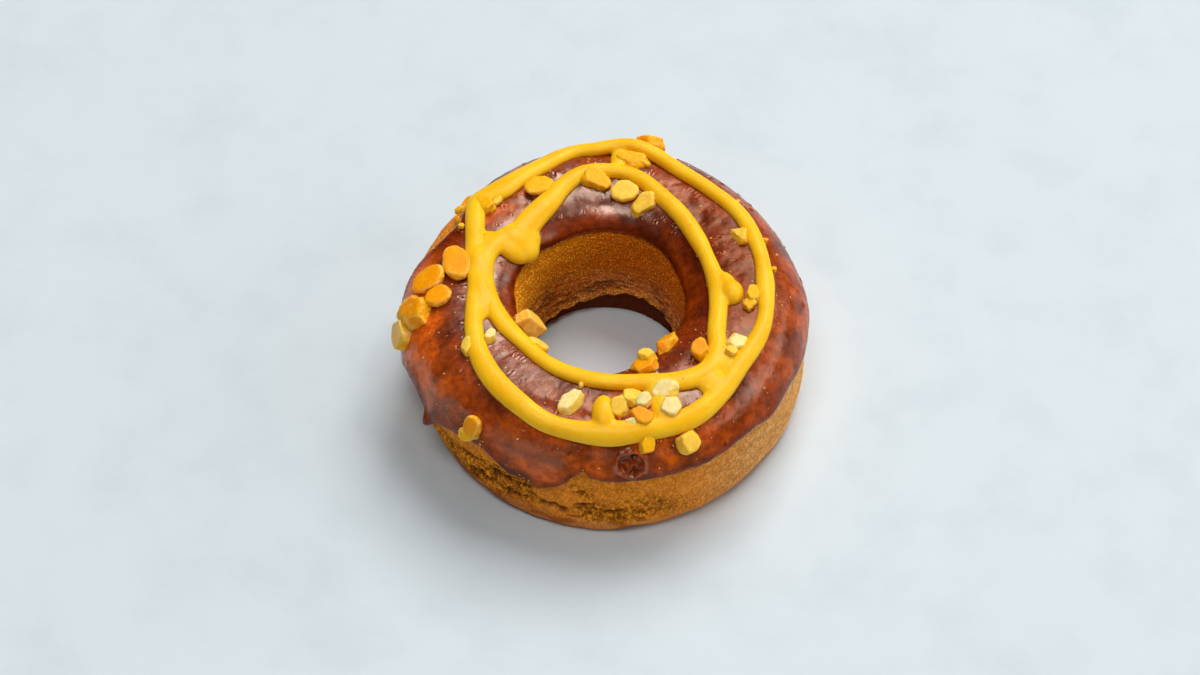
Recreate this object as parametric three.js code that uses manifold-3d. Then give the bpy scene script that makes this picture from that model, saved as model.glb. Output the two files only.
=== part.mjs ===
// Peanut butter chocolate doughnut: a risen ring with a flat base, a skin of chocolate icing over its
// crown, two looping ribbons of peanut butter poured on the icing, and chopped peanuts set in both.
// Millimetres, +Z up, the origin in the middle of the base. Angles are in degrees about +Z from +X.

import * as THREE from 'three';
import { mergeVertices } from 'three/addons/utils/BufferGeometryUtils.js';
import { ConvexGeometry } from 'three/addons/geometries/ConvexGeometry.js';
import Module from 'manifold-3d';

const wasm = await Module();
wasm.setup();

// Driving dimensions of the ring's section, from the foot over the crest to the heel in the hole
const ring = {
  footRadius: 35.5,
  widestRadius: 39.1,
  widestHeight: 15,
  crestRadius: 28,
  crestHeight: 27.9,
  neckRadius: 15.9,
  neckHeight: 14,
  heelRadius: 17.2,
};

// How square each quarter of the section is: 2 is an ellipse, more is squarer
const squareness = { foot: 2.2, shoulder: 2.36, throat: 3.2, heel: 2 };

// Unevenness of the outline, as cosine and sine waves of 1 to 5 turns round the ring
const shoulderWaves = [[0.44, 0.46], [-0.26, -0.32], [-0.5, -0.64], [0.17, 0.23], [0.26, 0.1]];
const footWaves = [[1.27, -0.36], [-0.44, -0.4], [0.43, 0.1], [0.3, -0.31], [0.23, 0.02]];

// How far the hole's wall stands back: [angle, millimetres], reached over some depth inside the crest
const holeBack = [
  [0, 0], [30, 0], [100, 0], [180, 0], [200, 0.5], [225, 1.2], [245, 2.2], [262, 2.6], [278, 2.4],
  [292, 1.4], [310, 0.3], [330, 0],
];
const holeBackOver = 10;

// Where the ring's axis stands, so that the uneven outline is centred on the origin
const axis = { x: -0.2, y: -1 };

const icing = { thickness: 1.2, lipLength: 1.7, lipSquareness: 2.4, rootDepth: 0.8, clearance: 0.3 };
const ribbon = { halfHeight: 1.45, lift: 0.25 };

// Facets round the ring, along the section and along and round a ribbon
const facets = { round: 72, section: 22, icing: 13, icingRoot: 2, ribbon: 88, ribbonRound: 7 };

// Where the icing ends: [angle, millimetres down the section from the crest]
const outerEdge = [
  [0, 16.4], [25, 15], [55, 14.1], [90, 13.8], [118, 11.6], [130, 8.7], [140, 6.8], [146, 5.7],
  [152, 4.9], [157, 5.7], [163, 7.5], [168, 10.6], [174, 14.2], [180, 16.2], [192, 18.8], [203, 16.9],
  [208, 17.3], [213, 19.7], [219, 18.6], [226, 17.4], [234, 17.6], [242, 21], [247, 21.3], [252, 22.2],
  [258, 19.8], [264, 15.1], [267, 16.6], [288, 15.8], [304, 15], [312, 14.4], [320, 15.4], [334, 15.6],
  [349, 16.9],
];
const innerEdge = [
  [10, 14.2], [30, 13.6], [50, 12.4], [90, 12.1], [125, 12.4], [148, 11.6], [170, 11.3], [190, 12],
  [230, 12.8], [270, 12.2], [310, 12.6], [345, 13.8],
];

// Each ribbon: its middle as [angle, millimetres outwards from the crest], and by angle its half
// width and how far it stands above the icing
const outerRibbon = {
  course: [
    [0, 2.8], [17, 3.1], [33, 3.7], [48, 3.4], [62, 3.8], [74, 5.2], [84, 5.8], [92, 5.4], [100, 5.7],
    [113, 3.8], [130, 2.9], [140, 4.1], [146, 2.2], [153, 0.1], [162, -1.7], [180, -3.6], [195, -2.6],
    [206, -0.8], [217, 1.2], [229, 3.1], [241, 4.8], [252, 6.5], [267, 6.8], [283, 6.3], [297, 6.2],
    [310, 5.1], [323, 3.8], [340, 3.7],
  ],
  halfWidth: [
    [0, 1.9], [30, 1.75], [50, 1.65], [80, 1.75], [118, 2.2], [130, 2.6], [148, 2.05], [180, 1.9],
    [210, 1.9], [228, 2.2], [255, 2], [272, 2.4], [300, 2.2], [325, 1.95],
  ],
  rise: [[0, 0], [60, 0], [72, 0.7], [80, 1.3], [88, 0.7], [100, 0], [200, 0]],
};
const innerRibbon = {
  course: [
    [0, -6], [17, -6.5], [34, -6.1], [50, -4.8], [62, -3.4], [78, -0.3], [90, 0.3], [98, 0], [107, -2.2],
    [118, -4.9], [132, -6.4], [142, -6.9], [158, -4.6], [170, -4.6], [190, -5.7], [206, -6.7],
    [221, -7.5], [237, -7.2], [252, -6.5], [262, -5.9], [285, -3.4], [301, 0], [312, 0.9], [322, -0.7],
    [329, -3], [341, -4.7],
  ],
  halfWidth: [
    [0, 1.85], [30, 1.8], [60, 1.85], [94, 1.65], [112, 2.2], [132, 2.7], [142, 2.8], [165, 1.9],
    [206, 2.1], [232, 1.7], [285, 1.8], [303, 2.2], [325, 1.9],
  ],
  rise: [[0, 0], [180, 0]],
};

// Wider pools of peanut butter: a hanging drop, strands that run together, bridges and coated
// peanuts. heading is the plan direction of the long side.
const pools = [
  { angle: 146.5, across: -8, long: 9, wide: 7.4, tall: 4.2, heading: -35 },
  { angle: 153, across: -8, long: 7, wide: 5, tall: 3.6, heading: -20 },
  { angle: 146, across: -9.6, long: 5.6, wide: 4.8, tall: 3.4, heading: -40 },
  { angle: 140, across: -8.5, long: 5.5, wide: 5, tall: 3.6, heading: -50 },
  { angle: 185, across: -4.3, long: 15, wide: 4, tall: 3.3, heading: 95 },
  { angle: 158, across: -3.8, long: 7.4, wide: 5.4, tall: 3.2, heading: 80 },
  { angle: 84, across: 3.2, long: 6, wide: 4, tall: 2.8, heading: 80 },
  { angle: 270, across: 3.1, long: 7.4, wide: 4.6, tall: 4, heading: 88 },
  { angle: 291, across: -1.4, long: 6, wide: 4.6, tall: 3.2, heading: 95 },
  { angle: 290, across: 3.6, long: 8, wide: 4.6, tall: 3, heading: 95 },
  { angle: 353.5, across: -3.1, long: 5.8, wide: 4.6, tall: 4.6, heading: 95 },
  { angle: 0, across: -4.3, long: 5.4, wide: 3.6, tall: 3.4, heading: 120 },
  { angle: 320, across: 0.9, long: 7.4, wide: 6, tall: 3.2, heading: 55 },
  { angle: 310, across: 3.2, long: 6, wide: 5, tall: 3.2, heading: 40 },
];

// Chopped peanuts: place, size, the plan direction of the long side, and how far a piece that lies
// on another stands above the icing
const peanuts = [
  { angle: 172, across: 0.6, long: 8.2, wide: 5.4, tall: 2.6, heading: -78, above: 0 },
  { angle: 179, across: 5, long: 7.4, wide: 5.3, tall: 2.6, heading: 38, above: 0 },
  { angle: 188.5, across: 8.6, long: 8.2, wide: 6.4, tall: 3.4, heading: -32, above: 0 },
  { angle: 79, across: 3.1, long: 7.1, wide: 4.3, tall: 2.8, heading: -8, above: 0 },
  { angle: 312.5, across: -9.9, long: 7.4, wide: 3.4, tall: 2.8, heading: 56, above: 0 },
  { angle: 352.8, across: 0.8, long: 4.8, wide: 2.8, tall: 3, heading: 82, above: 0 },
  { angle: 202.5, across: -13, long: 6.8, wide: 5.2, tall: 3.2, heading: -30, above: 0 },
  { angle: 92.5, across: -2.2, long: 6, wide: 4.8, tall: 2.8, heading: -35, above: 0 },
  { angle: 68, across: -6.1, long: 6.4, wide: 4, tall: 2.6, heading: 53, above: 0 },
  { angle: 258.2, across: 1.7, long: 5.8, wide: 3.8, tall: 2.4, heading: 57, above: 0 },
  { angle: 118, across: -0.9, long: 5.8, wide: 4.5, tall: 2.3, heading: 20, above: 0 },
  { angle: 293, across: 0.9, long: 5.3, wide: 4.4, tall: 3.4, heading: 10, above: 0 },
  { angle: 79.5, across: -4.7, long: 5.6, wide: 4.8, tall: 2.3, heading: 10, above: 0 },
  { angle: 187, across: 3.4, long: 5.4, wide: 4.4, tall: 2.5, heading: 35, above: 0 },
  { angle: 140, across: 2.5, long: 5.6, wide: 4, tall: 2.6, heading: -55, above: 0 },
  { angle: 192, across: 12, long: 6, wide: 4.8, tall: 3.2, heading: 80, above: 0 },
  { angle: 328.5, across: 1.3, long: 4.4, wide: 3.8, tall: 3, heading: 30, above: 0.2 },
  { angle: 75.5, across: 8.6, long: 6, wide: 3.8, tall: 4.2, heading: -20, above: 0.4 },
  { angle: 294, across: 9.7, long: 4.8, wide: 4.5, tall: 3, heading: 30, above: 0 },
  { angle: 291, across: -6.9, long: 5.4, wide: 3.6, tall: 2.8, heading: 5, above: 0 },
  { angle: 228.5, across: -9.6, long: 4.8, wide: 2.8, tall: 2.6, heading: -40, above: 0 },
  { angle: 317, across: -3.1, long: 4.7, wide: 3.7, tall: 3.3, heading: -80, above: 0 },
  { angle: 282.5, across: 4.1, long: 4.8, wide: 3.9, tall: 3, heading: -20, above: 0 },
  { angle: 292.5, across: 3.5, long: 4.6, wide: 4.2, tall: 3.2, heading: 60, above: 0 },
  { angle: 230.6, across: 12.1, long: 4.6, wide: 3.6, tall: 2.2, heading: 70, above: 0 },
  { angle: 23.5, across: 1, long: 4.6, wide: 3.7, tall: 2.5, heading: -50, above: 0 },
  { angle: 275.5, across: 2.2, long: 4.3, wide: 3.9, tall: 3, heading: 40, above: 0 },
  { angle: 280.5, across: 0.6, long: 4.4, wide: 3.7, tall: 3, heading: 0, above: 0 },
  { angle: 229.4, across: 14.4, long: 4.8, wide: 3.2, tall: 2.2, heading: -30, above: 0 },
  { angle: 282.5, across: 8.5, long: 4.2, wide: 2.9, tall: 2.5, heading: 75, above: 0 },
  { angle: 294, across: -8, long: 3.8, wide: 3.2, tall: 3, heading: 20, above: 0.8 },
  { angle: 141.5, across: 5.3, long: 3.8, wide: 2.4, tall: 1.8, heading: 50, above: 0 },
  { angle: 284.5, across: 1.7, long: 3.2, wide: 2.9, tall: 2.8, heading: 0, above: 0 },
  { angle: 278.5, across: 5.2, long: 3.4, wide: 2.4, tall: 2.2, heading: 10, above: 0 },
  { angle: 211.5, across: 2, long: 4.4, wide: 2.3, tall: 2.4, heading: 85, above: 0 },
  { angle: 212.5, across: -2.8, long: 3.6, wide: 2.6, tall: 2.4, heading: 70, above: 0 },
  { angle: 348.4, across: 0.4, long: 3.2, wide: 2.6, tall: 2.2, heading: 60, above: 0 },
  { angle: 322.8, across: 1.7, long: 2.4, wide: 2, tall: 2, heading: 0, above: 1.2 },
];

// Cosine and sine waves round the ring, millimetres at an angle
function waviness(waves, angle) {
  return waves.reduce((sum, [cosine, sine], k) => {
    const turn = THREE.MathUtils.degToRad(angle * (k + 1));
    return sum + cosine * Math.cos(turn) + sine * Math.sin(turn);
  }, 0);
}

// A smooth closed course through [angle, value] turning points, read at any angle
function courseAt(turns, angle) {
  const count = turns.length;
  const turnAt = (i) => {
    const lap = Math.floor(i / count);
    const [at, value] = turns[i - lap * count];
    return { at: at + 360 * lap, value };
  };
  const slopeAt = (i) => (turnAt(i + 1).value - turnAt(i - 1).value) / (turnAt(i + 1).at - turnAt(i - 1).at);
  const wrapped = THREE.MathUtils.euclideanModulo(angle - turns[0][0], 360) + turns[0][0];
  let i = count - 1;
  while (turnAt(i).at > wrapped) i -= 1;
  const from = turnAt(i);
  const to = turnAt(i + 1);
  const span = to.at - from.at;
  const t = (wrapped - from.at) / span;
  return from.value * (2 * t ** 3 - 3 * t ** 2 + 1) + to.value * (3 * t ** 2 - 2 * t ** 3)
    + span * (slopeAt(i) * (t ** 3 - 2 * t ** 2 + t) + slopeAt(i + 1) * (t ** 3 - t ** 2));
}

// A superellipse quarter from one section point to the next. It leaves the first point either
// upright or level, and reaches the second the other way.
function quarter(start, end, power, leavesUpright, steps) {
  return Array.from({ length: steps + 1 }, (_, i) => {
    const turn = (i / steps) * (Math.PI / 2);
    const late = 1 - Math.cos(turn) ** (2 / power);
    const early = Math.sin(turn) ** (2 / power);
    const along = leavesUpright ? new THREE.Vector2(late, early) : new THREE.Vector2(early, late);
    return end.clone().sub(start).multiply(along).add(start);
  });
}

// The section as a fine line of (radius, height) points with the distance walked to each
const section = (() => {
  const steps = 60;
  const foot = new THREE.Vector2(ring.footRadius, 0);
  const widest = new THREE.Vector2(ring.widestRadius, ring.widestHeight);
  const crest = new THREE.Vector2(ring.crestRadius, ring.crestHeight);
  const neck = new THREE.Vector2(ring.neckRadius, ring.neckHeight);
  const heel = new THREE.Vector2(ring.heelRadius, 0);
  const points = [
    ...quarter(foot, widest, squareness.foot, false, steps),
    ...quarter(widest, crest, squareness.shoulder, true, steps).slice(1),
    ...quarter(crest, neck, squareness.throat, false, steps).slice(1),
    ...quarter(neck, heel, squareness.heel, true, steps).slice(1),
  ];
  const walked = [0];
  for (let i = 1; i < points.length; i += 1) {
    walked.push(walked[i - 1] + points[i].distanceTo(points[i - 1]));
  }
  return { points, walked, crestAt: walked[2 * steps], length: walked[walked.length - 1] };
})();

// Point and outward normal of the section, a distance outwards from its crest
function sectionAt(across) {
  const place = THREE.MathUtils.clamp(section.crestAt - across, 0, section.length);
  let i = section.walked.findIndex((distance) => distance >= place);
  i = Math.max(i, 1);
  const span = section.walked[i] - section.walked[i - 1];
  const point = section.points[i - 1].clone().lerp(section.points[i], (place - section.walked[i - 1]) / span);
  const before = section.points[Math.max(i - 2, 0)];
  const after = section.points[Math.min(i + 1, section.points.length - 1)];
  const along = after.clone().sub(before).normalize();
  return { point, normal: new THREE.Vector2(along.y, -along.x) };
}

// A point on the ring, or lifted off its surface, with the outline's unevenness on the outer side
// and the hole's standing back on the inner side
function ringPoint(angle, across, lift) {
  const { point, normal } = sectionAt(across);
  const rise = Math.min(point.y / ring.widestHeight, 1);
  const flank = (point.x - ring.crestRadius) / (ring.widestRadius - ring.crestRadius);
  const outside = rise * THREE.MathUtils.clamp(flank, 0, 1) * waviness(shoulderWaves, angle)
    + (1 - rise) * waviness(footWaves, angle);
  const share = THREE.MathUtils.clamp((ring.crestRadius - point.x) / holeBackOver, 0, 1);
  const radius = point.x + normal.x * lift + (across > 0 ? outside : share * courseAt(holeBack, angle));
  const turn = THREE.MathUtils.degToRad(angle);
  const x = axis.x + radius * Math.cos(turn);
  const y = axis.y + radius * Math.sin(turn);
  return new THREE.Vector3(x, y, point.y + normal.y * lift);
}

// A closed surface whose rows and columns both run round and join up
function closedGrid(rows, columns, pointAt) {
  const positions = [];
  const indices = [];
  for (let i = 0; i < rows; i += 1) {
    for (let j = 0; j < columns; j += 1) {
      positions.push(...pointAt(i, j).toArray());
      const nextRow = ((i + 1) % rows) * columns;
      const nextColumn = (j + 1) % columns;
      const [a, b, c, d] = [i * columns + j, nextRow + j, nextRow + nextColumn, i * columns + nextColumn];
      indices.push(a, b, d, b, c, d);
    }
  }
  const geometry = new THREE.BufferGeometry();
  geometry.setAttribute('position', new THREE.Float32BufferAttribute(positions, 3));
  geometry.setIndex(indices);
  return geometry;
}

// A geometry as a solid that can be joined and cut
function toSolid(geometry) {
  const bare = geometry.clone();
  bare.deleteAttribute('normal');
  bare.deleteAttribute('uv');
  const merged = mergeVertices(bare, 1e-4);
  return new wasm.Manifold(new wasm.Mesh({
    numProp: 3,
    vertProperties: new Float32Array(merged.attributes.position.array),
    triVerts: new Uint32Array(merged.index.array),
  }));
}

// The largest body of a solid, without loose scraps or sealed hollows
function toGeometry(solid) {
  const bodies = solid.decompose().sort((a, b) => b.volume() - a.volume());
  const mesh = bodies[0].getMesh();
  const geometry = new THREE.BufferGeometry();
  geometry.setAttribute('position', new THREE.Float32BufferAttribute(mesh.vertProperties, 3));
  geometry.setIndex(Array.from(mesh.triVerts));
  geometry.computeVertexNormals();
  return geometry;
}

// The whole ring at some distance outside the cake's surface, cut flat at the base
function ringGeometry(lift) {
  return closedGrid(facets.round, facets.section, (i, j) => {
    const across = section.crestAt - (j / (facets.section - 1)) * section.length;
    const point = ringPoint((i * 360) / facets.round, across, lift);
    point.z = Math.max(point.z, 0);
    return point;
  });
}

// Icing's own height over the cake, rounded off towards both of its edges
function icingLift(fromEdge) {
  const inward = THREE.MathUtils.clamp(1 - fromEdge / icing.lipLength, 0, 1);
  return icing.thickness * (1 - inward ** icing.lipSquareness) ** (1 / icing.lipSquareness);
}

// Icing from its outer edge over the crest to its edge in the hole, rooted inside the cake
function icingGeometry() {
  const columns = facets.icing + facets.icingRoot;
  return closedGrid(facets.round, columns, (i, j) => {
    const angle = (i * 360) / facets.round;
    const outer = courseAt(outerEdge, angle);
    const inner = -courseAt(innerEdge, angle);
    if (j >= facets.icing) {
      const back = (j - facets.icing + 1) / (facets.icingRoot + 1);
      return ringPoint(angle, THREE.MathUtils.lerp(inner, outer, back), -icing.rootDepth);
    }
    const over = 0.5 - 0.5 * Math.cos((Math.PI * j) / (facets.icing - 1));
    const across = THREE.MathUtils.lerp(outer, inner, over);
    return ringPoint(angle, across, icingLift(Math.min(outer - across, across - inner)));
  });
}

// Frame on the icing: a point, the way out of the surface and the plan heading laid on the surface
function icingFrame(angle, across, lift, heading) {
  const origin = ringPoint(angle, across, icing.thickness + lift);
  const up = ringPoint(angle, across, 1).sub(ringPoint(angle, across, 0)).normalize();
  const turn = THREE.MathUtils.degToRad(heading);
  const side = new THREE.Vector3(-Math.sin(turn), Math.cos(turn), 0).projectOnPlane(up).normalize();
  const forward = side.clone().cross(up);
  return new THREE.Matrix4().makeBasis(forward, side, up).setPosition(origin);
}

// One ribbon of peanut butter: an oval carried along its course over the icing
function ribbonGeometry({ course, halfWidth, rise }) {
  const step = 360 / facets.ribbon;
  const middle = (angle) => {
    const lift = icing.thickness + ribbon.lift + courseAt(rise, angle);
    return ringPoint(angle, courseAt(course, angle), lift);
  };
  return closedGrid(facets.ribbon, facets.ribbonRound, (i, j) => {
    const angle = i * step;
    const across = courseAt(course, angle);
    const up = ringPoint(angle, across, 1).sub(ringPoint(angle, across, 0)).normalize();
    const along = middle(angle + step / 2).sub(middle(angle - step / 2)).normalize();
    const side = along.cross(up).normalize();
    const round = (2 * Math.PI * j) / facets.ribbonRound;
    return middle(angle)
      .addScaledVector(side, courseAt(halfWidth, angle) * Math.cos(round))
      .addScaledVector(up, ribbon.halfHeight * Math.sin(round));
  });
}

// A rounded pool of peanut butter, half sunk in the icing
function poolGeometry(pool) {
  const geometry = new THREE.IcosahedronGeometry(0.5, 1);
  geometry.scale(pool.long, pool.wide, pool.tall);
  geometry.applyMatrix4(icingFrame(pool.angle, pool.across, 0, pool.heading));
  return geometry;
}

// Repeatable draws from 0 to 1
function seededDraws(seed) {
  let state = seed * 2654435761 + 12345;
  return () => {
    state = (Math.imul(state ^ (state >>> 15), 2246822519) + 3266489917) >>> 0;
    return state / 4294967296;
  };
}

// A chopped peanut: the hull of twelve corners, each drawn a little in or out and a little boxy
function peanutGeometry(peanut, index) {
  const draw = seededDraws(index + 1);
  const boxiness = 0.75;
  const unevenness = 0.22;
  const sunk = 0.2;
  const source = new THREE.IcosahedronGeometry(1, 0);
  source.deleteAttribute('normal');
  source.deleteAttribute('uv');
  const corners = mergeVertices(source, 1e-4).attributes.position;
  const points = Array.from({ length: corners.count }, (_, i) => {
    const corner = new THREE.Vector3().fromBufferAttribute(corners, i);
    const boxy = corner.toArray().map((value) => Math.sign(value) * Math.abs(value) ** boxiness);
    return new THREE.Vector3(...boxy).multiplyScalar(0.5 * (1 - unevenness * draw()));
  });
  const geometry = new ConvexGeometry(points);
  geometry.scale(peanut.long, peanut.wide, peanut.tall);
  const lift = sunk * peanut.tall + peanut.above;
  geometry.applyMatrix4(icingFrame(peanut.angle, peanut.across, lift, peanut.heading));
  return geometry;
}

// The icing with its ribbons, pools and peanuts grown together, clear of the cake underneath
function toppedIcingGeometry() {
  const toppings = [
    ribbonGeometry(outerRibbon),
    ribbonGeometry(innerRibbon),
    ...pools.map(poolGeometry),
    ...peanuts.map(peanutGeometry),
  ];
  const topped = toppings.reduce((solid, geometry) => solid.add(toSolid(geometry)), toSolid(icingGeometry()));
  return toGeometry(topped.subtract(toSolid(ringGeometry(icing.clearance))));
}

function namedMesh(name, geometry, look) {
  const mesh = new THREE.Mesh(geometry, new THREE.MeshStandardMaterial(look));
  mesh.name = name;
  return mesh;
}

const doughnut = new THREE.Group();
doughnut.add(namedMesh('cake', ringGeometry(0), { color: 0xb37a35, roughness: 0.85, metalness: 0 }));
doughnut.add(namedMesh('chocolate_icing', toppedIcingGeometry(), { color: 0x5c2412, roughness: 0.3, metalness: 0 }));

export default doughnut;
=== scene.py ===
# Peanut butter chocolate doughnut on a pale floor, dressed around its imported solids.
# Shapes are worked out in millimetres and written to Blender in metres.
import math
import bpy
import numpy as np
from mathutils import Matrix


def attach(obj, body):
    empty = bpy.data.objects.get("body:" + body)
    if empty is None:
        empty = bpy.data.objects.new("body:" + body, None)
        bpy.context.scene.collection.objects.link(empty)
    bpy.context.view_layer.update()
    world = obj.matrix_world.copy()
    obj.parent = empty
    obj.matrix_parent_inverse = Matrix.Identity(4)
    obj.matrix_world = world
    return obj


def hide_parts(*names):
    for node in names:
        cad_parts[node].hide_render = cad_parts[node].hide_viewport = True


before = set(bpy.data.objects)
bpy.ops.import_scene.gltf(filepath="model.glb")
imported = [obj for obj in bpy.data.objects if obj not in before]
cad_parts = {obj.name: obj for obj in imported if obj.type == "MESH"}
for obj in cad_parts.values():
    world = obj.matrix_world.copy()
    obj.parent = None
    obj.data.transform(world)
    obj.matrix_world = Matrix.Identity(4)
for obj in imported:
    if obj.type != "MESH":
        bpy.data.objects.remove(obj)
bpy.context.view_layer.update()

millimetre = 0.001
fullTurn = 6.28
degreesInRadian = 57.3
body = "root"

# The ring's section, from the foot over the crest to the heel in the hole
ringShape = {
    "footRadius": 35.5,
    "widestRadius": 39.1,
    "widestHeight": 15.0,
    "crestRadius": 28.0,
    "crestHeight": 27.9,
    "neckRadius": 15.9,
    "neckHeight": 14.0,
    "heelRadius": 17.2,
    "linePoints": 2400,
    "squareness": {"foot": 2.2, "shoulder": 2.36, "throat": 3.2, "heel": 2.0},
    "shoulderWaves": [(0.44, 0.46), (-0.26, -0.32), (-0.5, -0.64), (0.17, 0.23), (0.26, 0.1)],
    "footWaves": [(1.27, -0.36), (-0.44, -0.4), (0.43, 0.1), (0.3, -0.31), (0.23, 0.02)],
    # where the ring's axis stands, so that the whole outline is centred on the origin
    "axis": (-0.2, -1.0),
    # how far the hole's wall stands back by angle, reached over some depth inside the crest
    "holeBack": [(0, 0), (30, 0), (100, 0), (180, 0), (200, 0.5), (225, 1.2), (245, 2.2), (262, 2.6),
                 (278, 2.4), (292, 1.4), (310, 0.3), (330, 0)],
    "holeBackOver": 10.0,
}


# Superellipse quarter between two section points; power 2 is an ellipse, more is squarer
def quarterCurve(start, end, power, leavesUpright, steps=200):
    turn = np.linspace(0, np.pi / 2, steps + 1)
    late = 1 - np.cos(turn) ** (2 / power)
    early = np.sin(turn) ** (2 / power)
    alongRadius, alongHeight = (late, early) if leavesUpright else (early, late)
    radius = start[0] + (end[0] - start[0]) * alongRadius
    height = start[1] + (end[1] - start[1]) * alongHeight
    return np.stack([radius, height], 1)


# Section line as radius, height, distance walked and outward normal, evenly fine
def sectionLine(shape):
    power = shape["squareness"]
    foot = (shape["footRadius"], 0.0)
    widest = (shape["widestRadius"], shape["widestHeight"])
    crest = (shape["crestRadius"], shape["crestHeight"])
    neck = (shape["neckRadius"], shape["neckHeight"])
    heel = (shape["heelRadius"], 0.0)
    line = np.concatenate([
        quarterCurve(foot, widest, power["foot"], False),
        quarterCurve(widest, crest, power["shoulder"], True)[1:],
        quarterCurve(crest, neck, power["throat"], False)[1:],
        quarterCurve(neck, heel, power["heel"], True)[1:],
    ])
    walked = np.concatenate([[0.0], np.cumsum(np.hypot(*np.diff(line, axis=0).T))])
    even = np.linspace(0, walked[-1], shape["linePoints"])
    radius = np.interp(even, walked, line[:, 0])
    height = np.interp(even, walked, line[:, 1])
    alongR, alongZ = np.gradient(radius), np.gradient(height)
    size = np.hypot(alongR, alongZ)
    crestAt = even[np.argmax(height)]
    return {"radius": radius, "height": height, "walked": even, "crestAt": crestAt,
            "normalR": alongZ / size, "normalZ": -alongR / size}


section = sectionLine(ringShape)


# Sum of cosine and sine waves round the ring, at an angle in degrees
def waviness(waves, angle):
    turn = np.radians(angle)
    return sum(c * np.cos((k + 1) * turn) + s * np.sin((k + 1) * turn) for k, (c, s) in enumerate(waves))


# Points on the ring, or lifted off it: angle in degrees, across in mm outwards from the crest
def ringPoint(angle, across, lift):
    angle, across, lift = np.broadcast_arrays(angle, across, lift)
    place = np.clip(section["crestAt"] - across, 0, section["walked"][-1])
    radius = np.interp(place, section["walked"], section["radius"])
    height = np.interp(place, section["walked"], section["height"])
    normalR = np.interp(place, section["walked"], section["normalR"])
    normalZ = np.interp(place, section["walked"], section["normalZ"])
    rise = np.clip(height / ringShape["widestHeight"], 0, 1)
    flank = (radius - ringShape["crestRadius"]) / (ringShape["widestRadius"] - ringShape["crestRadius"])
    uneven = rise * np.clip(flank, 0, 1) * waviness(ringShape["shoulderWaves"], angle)
    uneven = uneven + (1 - rise) * waviness(ringShape["footWaves"], angle)
    share = np.clip((ringShape["crestRadius"] - radius) / ringShape["holeBackOver"], 0, 1)
    back = share * courseAt(ringShape["holeBack"], angle)
    radius = radius + normalR * lift + np.where(across > 0, uneven, back)
    turn = np.radians(angle)
    x, y = ringShape["axis"]
    return np.stack([x + radius * np.cos(turn), y + radius * np.sin(turn), height + normalZ * lift], -1)


# Smooth closed course through (angle, value) turning points: a cubic Hermite whose slope at each
# turning point is that of its two neighbours
def courseAt(turns, angle):
    at = np.array([t[0] for t in turns], float)
    value = np.array([t[1] for t in turns], float)
    atLap = np.concatenate([at[-2:] - 360, at, at[:3] + 360])
    valueLap = np.concatenate([value[-2:], value, value[:3]])
    slope = np.zeros_like(atLap)
    slope[1:-1] = (valueLap[2:] - valueLap[:-2]) / (atLap[2:] - atLap[:-2])
    wrapped = (np.asarray(angle, float) - at[0]) % 360 + at[0]
    i = np.clip(np.searchsorted(atLap, wrapped, side="right") - 1, 1, len(atLap) - 3)
    span = atLap[i + 1] - atLap[i]
    t = (wrapped - atLap[i]) / span
    return (valueLap[i] * (2 * t**3 - 3 * t**2 + 1) + valueLap[i + 1] * (3 * t**2 - 2 * t**3)
            + span * (slope[i] * (t**3 - 2 * t**2 + t) + slope[i + 1] * (t**3 - t**2)))


# Whole numbers that mix a cell's place and the seed into a random value
noiseMix = {"x": 374761393, "y": 668265263, "z": 1440662683, "seed": 974634777, "first": 1274126177,
            "second": 2246822519, "mask": 0xFFFFFFFF}


# Value noise between -1 and 1: random values on a lattice of cells, blended with a smooth step
def cellNoise(points, cell, seed):
    q = points / np.asarray(cell, float)
    low = np.floor(q).astype(np.int64)
    f = q - low
    f = f * f * f * (f * (f * 6 - 15) + 10)

    def corner(dx, dy, dz):
        mix = noiseMix
        h = (low[..., 0] + dx) * mix["x"] + (low[..., 1] + dy) * mix["y"] + (low[..., 2] + dz) * mix["z"]
        h = (h + seed * mix["seed"]) & mix["mask"]
        h = ((h ^ (h >> 13)) * mix["first"]) & mix["mask"]
        h = ((h ^ (h >> 15)) * mix["second"]) & mix["mask"]
        return (h ^ (h >> 16)) / (mix["mask"] // 2) - 1.0

    def edge(dy, dz):
        return corner(0, dy, dz) * (1 - f[..., 0]) + corner(1, dy, dz) * f[..., 0]

    def side(dz):
        return edge(0, dz) * (1 - f[..., 1]) + edge(1, dz) * f[..., 1]

    return side(0) * (1 - f[..., 2]) + side(1) * f[..., 2]


# Layers of cell noise, each half as large and half as strong as the one before
def layeredNoise(points, cell, seed, layers):
    cell = np.asarray(cell, float)
    strength = 0.5 ** np.arange(layers)
    total = sum(strength[k] * cellNoise(points, cell / 2**k, seed + 17 * k) for k in range(layers))
    return total / strength.sum()


# Unevenness as listed below: strength, cell in mm, seed and layers of a noise
def unevenness(points, listed):
    strength, cell, seed, layers = listed
    return strength * layeredNoise(points, cell, seed, layers)


# Smooth step from 0 at low to 1 at high; with high below low it falls
def smoothStep(low, high, x):
    t = np.clip((x - low) / (high - low), 0, 1)
    return t * t * (3 - 2 * t)


# Signed difference of an angle from another in degrees, between -180 and 180
def angleFrom(at, angle):
    return (angle - at + 180) % 360 - 180


# Quads of a grid of vertices, joined up in either direction where it closes
def gridFaces(rows, columns, closedRows, closedColumns):
    i = np.arange(rows if closedRows else rows - 1)[:, None]
    j = np.arange(columns if closedColumns else columns - 1)[None]
    nextI, nextJ = (i + 1) % rows, (j + 1) % columns
    a, b = i * columns + j, nextI * columns + j
    c, d = nextI * columns + nextJ, i * columns + nextJ
    return np.stack(np.broadcast_arrays(a, b, c, d), -1).reshape(-1, 4)


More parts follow.
